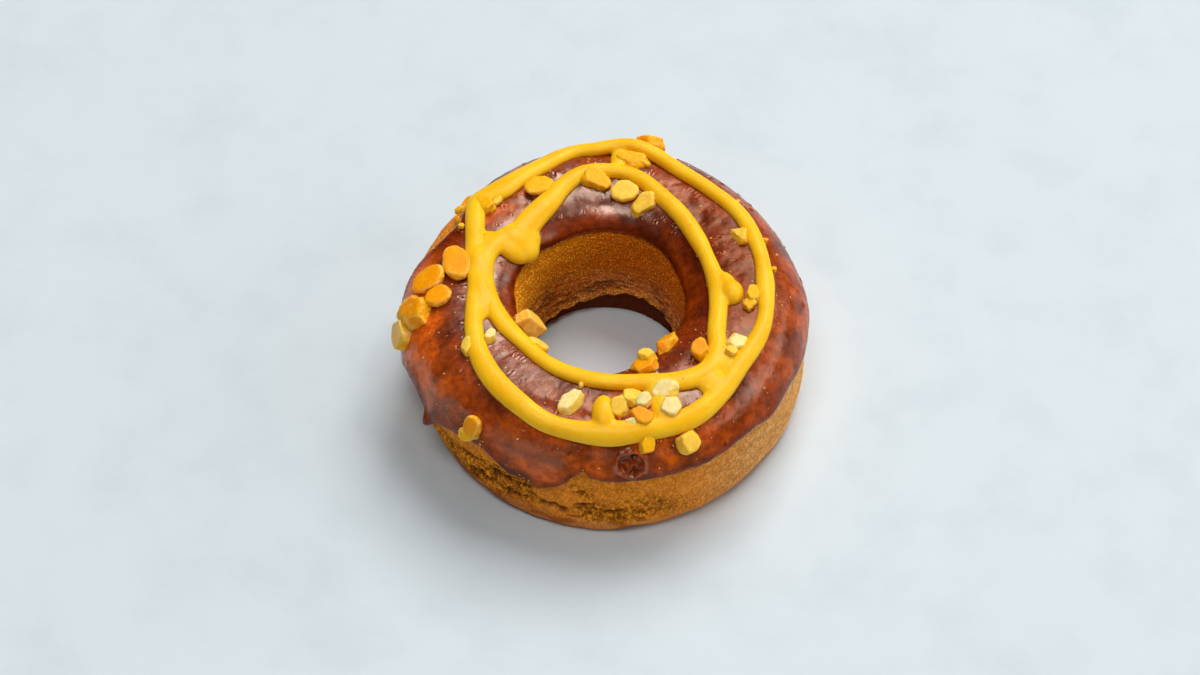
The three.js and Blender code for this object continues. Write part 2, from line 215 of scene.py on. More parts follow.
# Mesh object from vertex and face arrays, with colour or number attributes on its vertices
def makePiece(name, points, faces, attributes=None):
    points = np.asarray(points, float).reshape(-1, 3) * millimetre
    faces = np.asarray(faces)
    mesh = bpy.data.meshes.new(name)
    mesh.vertices.add(len(points))
    mesh.vertices.foreach_set("co", points.astype(np.float32).ravel())
    mesh.loops.add(faces.size)
    mesh.loops.foreach_set("vertex_index", faces.astype(np.int32).ravel())
    mesh.polygons.add(len(faces))
    mesh.polygons.foreach_set("loop_start", np.arange(0, faces.size, faces.shape[1], dtype=np.int32))
    mesh.update(calc_edges=True)
    mesh.validate()
    for key, values in (attributes or {}).items():
        values = np.asarray(values, np.float32)
        kind, field = ("FLOAT", "value") if values.ndim == 1 else ("FLOAT_COLOR", "color")
        mesh.attributes.new(key, kind, "POINT").data.foreach_set(field, values.ravel())
    mesh.shade_smooth()
    piece = bpy.data.objects.new(name, mesh)
    bpy.context.scene.collection.objects.link(piece)
    return piece


print("ring worked out")

# Camera: frame width and focal length in pixels, sensor in mm, elevation in degrees, rest in metres
cameraSet = {
    "frameWidth": 1200,
    "focalPixels": 2534.0,
    "sensor": 36.0,
    "nearest": 0.01,
    "elevation": 52.0,
    "distance": 0.5,
    "target": (-0.00083, -0.00119, 0.012),
}


def makeCamera(wish):
    data = bpy.data.cameras.new("camera")
    data.sensor_width = wish["sensor"]
    data.lens = wish["focalPixels"] / wish["frameWidth"] * wish["sensor"]
    data.clip_start = wish["nearest"]
    camera = bpy.data.objects.new("camera", data)
    rise = math.radians(wish["elevation"])
    x, y, z = wish["target"]
    camera.location = (x, y - wish["distance"] * math.cos(rise), z + wish["distance"] * math.sin(rise))
    camera.rotation_euler = (math.pi / 2 - rise, 0, 0)
    bpy.context.scene.collection.objects.link(camera)
    bpy.context.scene.camera = camera


# Soft studio light: a large panel behind and to the right, a smaller one overhead in front, a wide
# side light from the right that gives the outer slope its sheen, a faint low fill and a dim room
lightSet = {
    "panel": {"place": (0.9, 1.52, 2.78), "aim": (0, 0, 0.02), "size": (2.0, 2.0), "power": 97.0,
              "colour": (1.0, 1.0, 1.0)},
    "front": {"place": (-0.36, -0.8, 3.03), "aim": (0, 0, 0.02), "size": (1.2, 1.0), "power": 35.0,
              "colour": (1.0, 1.0, 1.0)},
    "side": {"place": (2.7, 0.2, 1.35), "aim": (0, 0, 0.02), "size": (3.8, 0.9), "power": 30.0,
             "colour": (0.93, 0.97, 1.0)},
    "fill": {"place": (0.3, -1.5, 0.27), "aim": (0, 0, 0.02), "size": (2.6, 0.44), "power": 2.8,
             "colour": (0.97, 0.97, 0.98)},
    "room": {"colour": (0.76, 0.89, 1.0), "strength": 0.055},
}


def makeLight(name, wish):
    data = bpy.data.lights.new(name, "AREA")
    data.shape = "RECTANGLE"
    data.size, data.size_y = wish["size"]
    data.energy = wish["power"]
    data.color = wish["colour"]
    light = bpy.data.objects.new(name, data)
    place = np.array(wish["place"])
    away = place - np.array(wish["aim"])
    light.location = place
    light.rotation_euler = (math.acos(away[2] / np.linalg.norm(away)), 0, math.atan2(away[0], -away[1]))
    bpy.context.scene.collection.objects.link(light)


def makeRoom(wish):
    world = bpy.data.worlds.new("room")
    world.use_nodes = True
    background = world.node_tree.nodes["Background"]
    background.inputs["Color"].default_value = (*wish["colour"], 1)
    background.inputs["Strength"].default_value = wish["strength"]
    bpy.context.scene.world = world


makeCamera(cameraSet)
for lightName in ("panel", "front", "side", "fill"):
    makeLight(lightName + "Light", lightSet[lightName])
makeRoom(lightSet["room"])
bpy.context.scene.view_settings.view_transform = "Standard"
print("camera and lights set")


# Short ways to build node trees
class Tree:
    def __init__(self, tree):
        self.tree = tree

    def add(self, kind, **settings):
        node = self.tree.nodes.new(kind)
        for key, value in settings.items():
            setattr(node, key, value)
        return node

    def link(self, source, target):
        self.tree.links.new(source, target)

    # Output of a vertex attribute of the piece
    def attribute(self, name, output="Fac"):
        return self.add("ShaderNodeAttribute", attribute_name=name).outputs[output]

    # Sets a socket to a value, or joins it to another node's output
    def put(self, socket, value):
        if isinstance(value, bpy.types.NodeSocket):
            self.link(value, socket)
        else:
            socket.default_value = value

    def math(self, operation, a, b=0.0, c=0.0, clamp=False):
        node = self.add("ShaderNodeMath", operation=operation, use_clamp=clamp)
        for socket, value in zip(node.inputs, (a, b, c)):
            self.put(socket, value)
        return node.outputs[0]

    def mix(self, factor, a, b, blend="MIX"):
        node = self.add("ShaderNodeMix", data_type="RGBA", blend_type=blend)
        self.put(node.inputs["Factor"], factor)
        self.put(node.inputs[6], a if isinstance(a, bpy.types.NodeSocket) else (*a, 1))
        self.put(node.inputs[7], b if isinstance(b, bpy.types.NodeSocket) else (*b, 1))
        return node.outputs[2]

    # Smooth ramp from low to high, as 0 to 1
    def ramp(self, value, low, high):
        node = self.add("ShaderNodeMapRange", interpolation_type="SMOOTHSTEP")
        self.put(node.inputs["Value"], value)
        node.inputs["From Min"].default_value = low
        node.inputs["From Max"].default_value = high
        return node.outputs["Result"]

    # Straight ramp from one pair of values to another
    def spread(self, value, start, end):
        node = self.add("ShaderNodeMapRange")
        self.link(value, node.inputs["Value"])
        node.inputs["From Min"].default_value, node.inputs["From Max"].default_value = start
        node.inputs["To Min"].default_value, node.inputs["To Max"].default_value = end
        return node.outputs["Result"]

    # Noise of a size in metres
    def noise(self, vector, size, detail, roughness):
        node = self.add("ShaderNodeTexNoise")
        self.link(vector, node.inputs["Vector"])
        node.inputs["Scale"].default_value = 1 / size
        node.inputs["Detail"].default_value = detail
        node.inputs["Roughness"].default_value = roughness
        return node.outputs["Fac"]

    # Coordinates turned by some radians about each axis and then scaled
    def stretch(self, vector, scale, turn=(0, 0, 0)):
        node = self.add("ShaderNodeMapping")
        self.link(vector, node.inputs["Vector"])
        node.inputs["Rotation"].default_value = turn
        node.inputs["Scale"].default_value = scale
        return node.outputs["Vector"]


def newMaterial(name):
    material = bpy.data.materials.new(name)
    material.use_nodes = True
    tree = Tree(material.node_tree)
    shader = material.node_tree.nodes["Principled BSDF"]
    place = tree.add("ShaderNodeTexCoord").outputs["Object"]
    return material, tree, shader, place


def bumpFrom(tree, height, distance, strength=1.0, normal=None):
    node = tree.add("ShaderNodeBump")
    node.inputs["Distance"].default_value = distance
    node.inputs["Strength"].default_value = strength
    tree.link(height, node.inputs["Height"])
    if normal is not None:
        tree.link(normal, node.inputs["Normal"])
    return node.outputs["Normal"]


# Empty node group with named sockets, with its tree and its start and end nodes
def newGroup(name, inputs, outputs):
    group = bpy.data.node_groups.new(name, "ShaderNodeTree")
    for direction, sockets in (("INPUT", inputs), ("OUTPUT", outputs)):
        for socket in sockets:
            kind = "NodeSocketVector" if socket == "Vector" else "NodeSocketFloat"
            group.interface.new_socket(socket, in_out=direction, socket_type=kind)
    tree = Tree(group)
    return group, tree, tree.add("NodeGroupInput"), tree.add("NodeGroupOutput")


# Cells of the baked grains and of the specks, and how their parts are weighed
grainShape = {"detail": 2, "roughness": 0.6, "kernel": (0.62, 0.12), "fineShare": 0.6,
              "toneShare": 0.9, "heightShare": 0.7}
speckShape = {"smallest": 0.5, "spread": 0.6, "softEdge": 0.6}


# Cells of a node group, as the distance from their middles and three random numbers each
def groupCells(tree, start):
    cells = tree.add("ShaderNodeTexVoronoi", feature="F1")
    tree.link(start.outputs["Vector"], cells.inputs["Vector"])
    tree.link(start.outputs["Scale"], cells.inputs["Scale"])
    parts = tree.add("ShaderNodeSeparateColor")
    tree.link(cells.outputs["Color"], parts.inputs["Color"])
    return cells.outputs["Distance"], parts.outputs


# Node group of baked grains: bright kernels of uneven strength on a darker ground, and their height
def makeGrainGroup(wish):
    group, tree, start, end = newGroup("bakedGrain", ("Vector", "Scale"), ("Tone", "Height"))
    distance, drawn = groupCells(tree, start)
    fine = tree.add("ShaderNodeTexNoise")
    tree.link(start.outputs["Vector"], fine.inputs["Vector"])
    tree.link(start.outputs["Scale"], fine.inputs["Scale"])
    fine.inputs["Detail"].default_value = wish["detail"]
    fine.inputs["Roughness"].default_value = wish["roughness"]
    bright = tree.math("MULTIPLY", tree.ramp(distance, *wish["kernel"]), drawn[0])
    ground = tree.math("MULTIPLY", fine.outputs["Fac"], wish["fineShare"])
    tone = tree.math("MULTIPLY_ADD", bright, wish["toneShare"], ground)
    height = tree.math("MULTIPLY_ADD", bright, wish["heightShare"], ground)
    tree.link(tone, end.inputs["Tone"])
    tree.link(height, end.inputs["Height"])
    return group


# Node group of sparse specks: 1 inside a speck, by how many cells hold one
def makeSpeckGroup(wish):
    group, tree, start, end = newGroup("sparseSpecks", ("Vector", "Scale", "Share", "Radius"), ("Speck",))
    distance, drawn = groupCells(tree, start)
    chosen = tree.math("LESS_THAN", drawn[0], start.outputs["Share"])
    reach = tree.math("MULTIPLY_ADD", drawn[1], wish["spread"], wish["smallest"])
    limit = tree.math("MULTIPLY", reach, start.outputs["Radius"])
    inside = tree.math("DIVIDE", tree.math("SUBTRACT", limit, distance), limit, clamp=True)
    speck = tree.math("MULTIPLY", chosen, tree.ramp(inside, 0.0, wish["softEdge"]))
    tree.link(speck, end.inputs["Speck"])
    return group


grainGroup = makeGrainGroup(grainShape)
speckGroup = makeSpeckGroup(speckShape)


def grain(tree, vector, scale):
    node = tree.add("ShaderNodeGroup", node_tree=grainGroup)
    tree.link(vector, node.inputs["Vector"])
    node.inputs["Scale"].default_value = scale
    return node.outputs["Tone"], node.outputs["Height"]


def specks(tree, vector, scale, share, radius):
    node = tree.add("ShaderNodeGroup", node_tree=speckGroup)
    tree.link(vector, node.inputs["Vector"])
    node.inputs["Scale"].default_value = scale
    node.inputs["Share"].default_value = share
    node.inputs["Radius"].default_value = radius
    return node.outputs["Speck"]


# Pale floor with faint clouding; sizes in metres
floorLook = {
    "size": 4.0,
    "pale": (0.60, 0.66, 0.686),
    "cloud": (0.555, 0.616, 0.643),
    "cloudNoise": (0.02, 5, 0.6),
    "cloudRange": (0.42, 0.75),
    "roughness": 0.6,
    "specular": 0.3,
}


def makeFloor(look):
    half = look["size"] / 2 / millimetre
    corners = np.array([(-half, -half, 0), (half, -half, 0), (half, half, 0), (-half, half, 0)])
    floor = makePiece("floor", corners, [[0, 1, 2, 3]])
    material, tree, shader, place = newMaterial("paleFloor")
    cloud = tree.ramp(tree.noise(place, *look["cloudNoise"]), *look["cloudRange"])
    colour = tree.mix(cloud, look["pale"], look["cloud"])
    tree.link(colour, shader.inputs["Base Color"])
    shader.inputs["Roughness"].default_value = look["roughness"]
    shader.inputs["Specular IOR Level"].default_value = look["specular"]
    floor.data.materials.append(material)


makeFloor(floorLook)

# Cake: the baked ring. Rows are finer where it shows, on the flank and in the hole.
cakeSet = {
    "angles": 720,
    "flankRows": 64,
    "coveredRows": 10,
    "holeRows": 58,
    "baseRows": 3,
    # across, in mm outwards from the crest: where the icing covers the cake, where that begins and
    # ends, and how far the covered cake sinks
    "coveredFrom": 8.5,
    "coveredTo": -10.8,
    "coverEnds": (10.5, -12.5),
    "coverSink": 0.3,
    # relief as strength in mm with cell in mm, seed and layers of its noise; a noise of its own where
    # the strength differs by place
    "lumps": (0.35, 6.5, 11, 3),
    "holeLumps": 0.5,
    "crumb": (0.2, (1.3, 1.3, 0.8), 23, 2),
    "flankCrumb": (0.4, 0.8),
    "tear": 0.6,
    "flankTear": 0.3,
    "tearLean": 0.35,
    "tearNoise": ((2.4, 2.4, 0.8), 37, 3),
    "poreDepth": 0.5,
    "poreNoise": ((1.4, 1.4, 0.9), 71, 2),
    "poreRange": (0.15, 0.4),
    # open crumb: its noise, and how it fades above and below one height
    "openNoise": ((9, 9, 5), 47, 2),
    "openRange": (-0.15, 0.3),
    "openMiddle": {"height": 8, "level": 0.25, "fade": 0.02, "power": 1.6},
    # height of the smooth crust at the foot, by angle, and how open the crumb above it is
    "crustTop": [(0, 2.0), (60, 2.2), (180, 2.5), (212, 3.8), (232, 5.2), (250, 5.2), (265, 4.2),
                 (282, 3.8), (302, 3.0), (325, 2.3)],
    "crustWander": (1.6, 3.0, 53, 3),
    "crustFade": 0.3,
    "openness": [(0, 0.2), (60, 0.7), (180, 0.8), (215, 1), (275, 1), (292, 0.4), (315, 0.15),
                 (345, 0.15)],
    "crustStep": 0.3,
    "closedStep": 0.3,
    # angle, height, length, width and depth of each open crack in the flank
    "cracks": [(226.5, 11.0, 3.2, 0.9, 1.2), (239, 10.0, 3.4, 1.0, 1.3), (255.5, 7.0, 3.6, 1.0, 1.3),
               (265, 9.4, 3.0, 0.8, 1.0), (272.3, 7.4, 2.6, 0.8, 1.1), (233, 6.5, 2.4, 0.7, 0.8),
               (247, 10.6, 2.2, 0.6, 0.8), (288, 8.2, 2.0, 0.6, 0.7), (262, 5.4, 2.4, 0.6, 0.8),
               (196, 9.0, 3.0, 0.9, 1.0), (150, 8.0, 3.4, 0.9, 1.1), (118, 10.0, 3.0, 0.8, 1.0),
               (95, 7.0, 3.6, 1.0, 1.1), (70, 9.0, 2.6, 0.7, 0.9), (40, 7.6, 3.0, 0.9, 1.0),
               (12, 9.4, 2.4, 0.7, 0.8), (341, 7.6, 2.6, 0.7, 0.8), (318, 8.8, 2.2, 0.6, 0.7)],
    "crackRadius": 38.5,
    "crackWander": (0.9, 1.6, 131, 2),
    "crackSharpness": 1.5,
    "crackEnds": 0.4,
    "closedCrack": 0.25,
    # height of the torn ledge in the hole, and how deep the wall steps back below it
    "ledge": [(0, 2.6), (20, 4.4), (33, 5.6), (45, 7.0), (58, 7.6), (78, 6.4), (95, 4.8), (120, 3.0),
              (160, 2.0), (200, 2.6), (250, 4.5), (300, 3.4), (340, 2.2)],
    "recess": [(0, 0.8), (30, 0.9), (60, 0.3), (80, 0), (110, 0), (130, 0.3), (160, 0.5), (220, 0.8),
               (300, 0.8)],
    "recessEdge": (0.2, -0.5),
    "ledgeWander": (0.7, (2.2, 2.2, 60), 61, 2),
    "ledgeLip": 0.7,
    "lipRise": 0.5,
    "lipWidth": 0.6,
    # heights in the hole between which the wall turns from grainy to torn
    "tornRange": (15.5, 9.5),
    "tornWander": (1.6, 5, 67, 2),
    # heights over which the relief begins above the base
    "baseRange": (-0.05, 0.5),
    # how grainy the flank is where its crumb is closed, and the crust, the recess and the base
    "closedGrain": 0.45,
    "crustGrain": 0.5,
    "recessGrain": 0.4,
    "baseGrain": 0.2,
}


# Depth of the listed cracks: a wandering groove with a sharp bottom along each
def crackDepth(wish, angle, height, points):
    depth = np.zeros(angle.shape)
    wander = unevenness(points, wish["crackWander"])
    for at, level, length, width, deep in wish["cracks"]:
        along = np.abs(np.radians(angleFrom(at, angle)) * wish["crackRadius"])
        groove = np.clip(1 - np.abs(height - level - wander) / width, 0, 1) ** wish["crackSharpness"]
        depth = np.maximum(depth, deep * groove * smoothStep(length, length * wish["crackEnds"], along))
    least = wish["closedCrack"]
    return depth * (least + (1 - least) * courseAt(wish["openness"], angle))


# Relief of the baked surface in mm and its masks: lumps, crumb, cracks and a smooth crust outside;
# in the hole a grainy wall, torn level streaks under it, then a ledge and a recess
def cakeRelief(wish, angle, across, points):
    height = points[..., 2]
    lumps = unevenness(points, wish["lumps"])
    crumb = unevenness(points, wish["crumb"])
    middle = wish["openMiddle"]
    openAt = layeredNoise(points, *wish["openNoise"]) + middle["level"]
    openAt = openAt - middle["fade"] * np.abs(height - middle["height"]) ** middle["power"]
    openCrumb = smoothStep(*wish["openRange"], openAt) * courseAt(wish["openness"], angle)
    tear = layeredNoise(points + points[..., 2:] * wish["tearLean"], *wish["tearNoise"])
    cracks = crackDepth(wish, angle, height, points)
    pores = smoothStep(*wish["poreRange"], layeredNoise(points, *wish["poreNoise"])) * openCrumb
    crustTop = courseAt(wish["crustTop"], angle) + unevenness(points, wish["crustWander"])
    aboveCrust = smoothStep(crustTop - wish["crustFade"], crustTop + wish["crustFade"], height)
    closed, added = wish["flankCrumb"]
    flank = crumb * (closed + added * openCrumb) + wish["flankTear"] * tear * openCrumb - cracks
    flank = flank - wish["poreDepth"] * pores - wish["crustStep"] * (wish["closedStep"] + openCrumb)
    flank = lumps + flank * aboveCrust
    ledgeAt = courseAt(wish["ledge"], angle) + unevenness(points, wish["ledgeWander"])
    top, bottom = wish["recessEdge"]
    recess = smoothStep(ledgeAt + top, ledgeAt + bottom, height)
    lip = np.exp(-(((height - ledgeAt - wish["lipRise"]) / wish["lipWidth"]) ** 2))
    torn = smoothStep(*wish["tornRange"], height + unevenness(points, wish["tornWander"]))
    wall = crumb + wish["tear"] * tear * torn + wish["ledgeLip"] * lip * torn
    hole = wish["holeLumps"] * lumps + (1 - recess) * wall - recess * courseAt(wish["recess"], angle)
    relief = np.where(across < 0, hole, flank) * smoothStep(*wish["baseRange"], height)
    masks = {"openCrumb": openCrumb, "aboveCrust": aboveCrust, "cracks": np.clip(cracks * 1.2, 0, 1),
             "recess": recess, "torn": torn, "lip": lip, "tear": tear, "pores": pores}
    return relief, masks


# Mix of two colours by a share for each place
def blend(share, first, second):
    return np.asarray(first) * (1 - share[..., None]) + np.asarray(second) * share[..., None]


# Colours made darker or lighter by a factor for each place
def shaded(colour, factor):
    return colour * factor[..., None]


# Colours clipped to what a shader can show, with an opaque fourth channel
def opaque(colour):
    return np.concatenate([np.clip(colour, 0, 1), np.ones(colour.shape[:-1] + (1,))], -1)


cakeLook = {
    "skin": (0.96, 0.288, 0.02),
    # pale tint: pale streaks, and the right side of the flank painted paler where light falls on it (painted
    # light)
    "paleStreakAndLitSide": (0.98, 0.5, 0.15),
    "gold": (0.87, 0.265, 0.0105),
    "crust": (1.0, 0.35, 0.06),
    "crustEdge": (0.55, 0.13, 0.015),
    # dark colour in the cracks: painted shade
    "paintedCrackShade": (0.15, 0.042, 0.007),
    # the hole wall: its left part, which faces the light, painted lighter and the rest painted darker
    # (painted light and shade)
    "wallPaintedLit": (1.0, 0.44, 0.012),
    "wallPaintedShade": (0.80, 0.28, 0.009),
    "torn": (0.88, 0.42, 0.12),
    "lip": (0.95, 0.52, 0.07),
    # dark colour of the recess under the ledge: painted shade
    "recess": (0.13, 0.028, 0.004),
    # noises as cell in mm, seed and layers, and how much they shade
    "broadNoise": ((6, 6, 3), 211, 3),
    "streakNoise": ((4.5, 4.5, 1.1), 223, 3),
    "streakLean": 0.9,
    "crustNoise": ((4, 4, 1.5), 227, 2),
    "flankUneven": 0.14,
    "wallUneven": 0.18,
    # painted shade in the pores, painted light on the torn crumb's ridges with painted shade in its grooves,
    # and painted shade in the gaps of the torn wall
    "poreShade": 0.65,
    "tearShade": 0.45,
    "gapShade": 0.65,
    # ranges over the cosine of the angle from the right: the right side painted paler where light falls on
    # it (painted light), the left of the hole wall painted lighter where light falls on it (painted light),
    # the crust
    "litSideTurn": 0.15,
    "litSideRange": (0.45, 1.0),
    "wallRange": (0.35, -0.75),
    "wallWander": 0.25,
    "crustTurnRange": (0.5, -0.6),
    "crustTurnShare": 0.5,
    # how much of a tint a place has: paler on the right, which is painted light, and in pale streaks; gold
    # in the open crumb; the crust's edge; the torn wall, the painted shade of the gaps in it and its lip
    "paleStreakAndLitShare": {"middle": 0.75, "change": 0.5, "streaks": 0.15, "streakRange": (0.1, 0.5)},
    "goldShare": {"lessOnRight": 0.6, "change": 0.3},
    "deepestTear": -0.4,
    "crustRange": (-0.2, 0.5),
    "tornShare": {"most": 0.75, "lessOnLeft": 0.5},
    "gapRange": (0.1, -0.35),
    "lipRange": (-0.1, 0.4),
    "lipShift": 0.2,
    # the shader's own grain, streaks and flakes: noise size in metres, detail and roughness
    "grainScale": 2100.0,
    "wallTone": (0.34, 0.70),
    "flankTone": (0.41, 0.66),
    "flankToneShares": (0.2, 0.85),
    "plainShade": (0.95, 0.95, 0.95),
    "grainDark": (0.76, 0.52, 0.28),
    "grainLight": (1.4, 1.6, 3.0),
    "streakTurn": (0.0, 0.5, 0.0),
    "streakScale": (1.5, 1.0, 0.7),
    "streakFine": (0.0008, 5, 0.75),
    "streakDark": (0.48, 0.36, 0.25),
    "streakLight": (1.5, 1.85, 2.6),
    "flakes": (1.0, 0.62, 0.16),
    "flakeSpecks": (900.0, 0.16, 0.3),
    "flakeShare": 0.7,
    "flakeRange": (0.55, 1.0),
    "bumpDepth": 0.0006,
    "leastBump": 0.15,
    "specular": 0.1,
    "roughness": 0.85,
}


# Colour of the cake by place, from the same masks as its relief. Painted light and shade in it: the right
# side of the flank paler, the left of the hole wall lighter where light falls on it and the rest of the wall
# darker, and darker cracks, pores, torn grooves, gaps and recess
def cakeColour(look, angle, across, points, masks):
    turn = np.radians(angle)
    paleStreakAndLitSide, gold, torn = look["paleStreakAndLitShare"], look["goldShare"], look["tornShare"]
    broad = layeredNoise(points, *look["broadNoise"])
    streak = layeredNoise(points + points[..., 2:] * look["streakLean"], *look["streakNoise"])
    # painted light: the right side, where light falls on the flank, is painted paler; pale streaks add to
    # the same tint everywhere
    rightSide = smoothStep(*look["litSideRange"], np.cos(turn + look["litSideTurn"]))
    paleStreakAndLitShare = rightSide * (paleStreakAndLitSide["middle"] + paleStreakAndLitSide["change"] * streak)
    paleStreakAndLitShare = paleStreakAndLitShare + paleStreakAndLitSide["streaks"] * smoothStep(*paleStreakAndLitSide["streakRange"], streak)
    skin = blend(np.clip(paleStreakAndLitShare, 0, 1), look["skin"], look["paleStreakAndLitSide"])
    goldShare = masks["openCrumb"] * (1 - gold["lessOnRight"] * rightSide) - gold["change"] * streak
    flank = blend(np.clip(goldShare, 0, 1), skin, look["gold"])
    flank = shaded(flank, 1 + look["flankUneven"] * broad)
    # painted shade: the pores are painted darker
    flank = shaded(flank, 1 - look["poreShade"] * masks["pores"])
    tear = np.clip(masks["tear"], look["deepestTear"], 1)
    # painted light and shade: the torn crumb painted lighter on its ridges and darker in its grooves,
    # following its relief
    flank = shaded(flank, 1 + look["tearShade"] * masks["openCrumb"] * tear)
    crustTone = smoothStep(*look["crustRange"], layeredNoise(points, *look["crustNoise"]))
    crustTone = crustTone + look["crustTurnShare"] * smoothStep(*look["crustTurnRange"], np.cos(turn))
    crust = blend(np.clip(crustTone, 0, 1), look["crust"], look["crustEdge"])
    flank = blend(masks["aboveCrust"], crust, flank)
    # painted shade: the cracks are painted dark
    flank = blend(masks["cracks"] * masks["aboveCrust"], flank, look["paintedCrackShade"])
    # painted light and shade: the left of the hole wall, where light falls on it, is painted lighter than
    # the rest of the wall
    leftSide = smoothStep(*look["wallRange"], np.cos(turn) + look["wallWander"] * broad)
    wall = blend(leftSide, look["wallPaintedShade"], look["wallPaintedLit"])
    wall = shaded(wall, 1 + look["wallUneven"] * broad)
    tornShare = masks["torn"] * torn["most"] * (1 - torn["lessOnLeft"] * leftSide)
    wall = blend(tornShare, wall, look["torn"])
    # painted shade: the gaps between the torn streaks of the wall are painted darker
    gaps = masks["torn"] * smoothStep(*look["gapRange"], masks["tear"])
    wall = shaded(wall, 1 - look["gapShade"] * gaps)
    lipShare = masks["lip"] * masks["torn"] * smoothStep(*look["lipRange"], broad + look["lipShift"])
    wall = blend(np.clip(lipShare, 0, 1), wall, look["lip"])
    # painted shade: the recess under the ledge is painted dark
    wall = blend(masks["recess"], wall, look["recess"])
    return opaque(np.where((across < 0)[..., None], wall, flank))


def makeCake(wish, look):
    angle = np.linspace(0, 360, wish["angles"], endpoint=False)
    foot = section["crestAt"]
    heel = section["crestAt"] - section["walked"][-1]
    across = np.concatenate([
        np.linspace(foot, wish["coveredFrom"], wish["flankRows"], endpoint=False),
        np.linspace(wish["coveredFrom"], wish["coveredTo"], wish["coveredRows"], endpoint=False),
        np.linspace(wish["coveredTo"], heel, wish["holeRows"]),
    ])
    angles, rows = np.meshgrid(angle, across, indexing="ij")
    points = ringPoint(angles, rows, 0)
    relief, masks = cakeRelief(wish, angles, rows, points)
    outerEnd, innerEnd = wish["coverEnds"]
    covered = smoothStep(outerEnd, wish["coveredFrom"], rows) * smoothStep(innerEnd, wish["coveredTo"], rows)
    relief = relief * (1 - covered) - wish["coverSink"] * covered
    colour = cakeColour(look, angles, rows, points, masks)
    closed, crust = wish["closedGrain"], wish["crustGrain"]
    flankGrain = closed + (1 - closed) * masks["openCrumb"]
    flankGrain = flankGrain * (crust + (1 - crust) * masks["aboveCrust"])
    grainy = np.where(rows < 0, 1 - masks["recess"] * (1 - wish["recessGrain"]), flankGrain)
    points = ringPoint(angles, rows, relief)
    points[..., 2] = np.clip(points[..., 2], 0, None)
    # the base, flat across from the heel to the foot
    back = np.linspace(0, 1, wish["baseRows"] + 2)[1:-1]
    base = points[:, -1:, :] * (1 - back[None, :, None]) + points[:, :1, :] * back[None, :, None]
    base[..., 2] = 0
    whole = np.concatenate([points, base], 1)
    baseColour = np.broadcast_to([*look["crust"], 1.0], base.shape[:2] + (4,))
    colour = np.concatenate([colour, baseColour], 1)
    grainy = np.concatenate([grainy, np.full(base.shape[:2], wish["baseGrain"])], 1)
    inHole = np.broadcast_to(np.concatenate([rows[0] < 0, np.zeros(wish["baseRows"])]), grainy.shape)
    faces = gridFaces(len(angle), whole.shape[1], True, True)
    return makePiece("cakeRing", whole, faces, {"tint": colour.reshape(-1, 4), "grainy": grainy.ravel(),
                                                "inHole": inHole.astype(float).ravel()})


# Baked crumb: grains in the hole, level streaks on the flank and pale flakes where it is open
def makeCakeMaterial(look):
    material, tree, shader, place = newMaterial("bakedCrumb")
    tint = tree.attribute("tint", "Color")
    grainy = tree.attribute("grainy")
    inHole = tree.attribute("inHole")
    tone, grainHeight = grain(tree, place, look["grainScale"])
    wallShade = tree.mix(tree.ramp(tone, *look["wallTone"]), look["grainDark"], look["grainLight"])
    streak = tree.noise(tree.stretch(place, look["streakScale"], look["streakTurn"]), *look["streakFine"])
    toneShare, streakShare = look["flankToneShares"]
    flankTone = tree.math("MULTIPLY_ADD", tone, toneShare, tree.math("MULTIPLY", streak, streakShare))
    flankShade = tree.mix(tree.ramp(flankTone, *look["flankTone"]), look["streakDark"], look["streakLight"])
    shade = tree.mix(grainy, look["plainShade"], tree.mix(inHole, flankShade, wallShade))
    colour = tree.mix(1.0, tint, shade, "MULTIPLY")
    flakes = tree.math("MULTIPLY", specks(tree, place, *look["flakeSpecks"]),
                       tree.ramp(grainy, *look["flakeRange"]))
    colour = tree.mix(tree.math("MULTIPLY", flakes, look["flakeShare"]), colour, look["flakes"])
    tree.link(colour, shader.inputs["Base Color"])
    shader.inputs["Roughness"].default_value = look["roughness"]
    shader.inputs["Specular IOR Level"].default_value = look["specular"]
    strength = tree.math("MULTIPLY_ADD", grainy, 1 - look["leastBump"], look["leastBump"])
    height = tree.math("MULTIPLY", tree.mix(inHole, streak, grainHeight), strength)
    tree.link(bumpFrom(tree, height, look["bumpDepth"]), shader.inputs["Normal"])
    return material


cake = makeCake(cakeSet, cakeLook)
cake.data.materials.append(makeCakeMaterial(cakeLook))
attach(cake, body)
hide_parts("cake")
print("cake made:", len(cake.data.polygons), "faces")

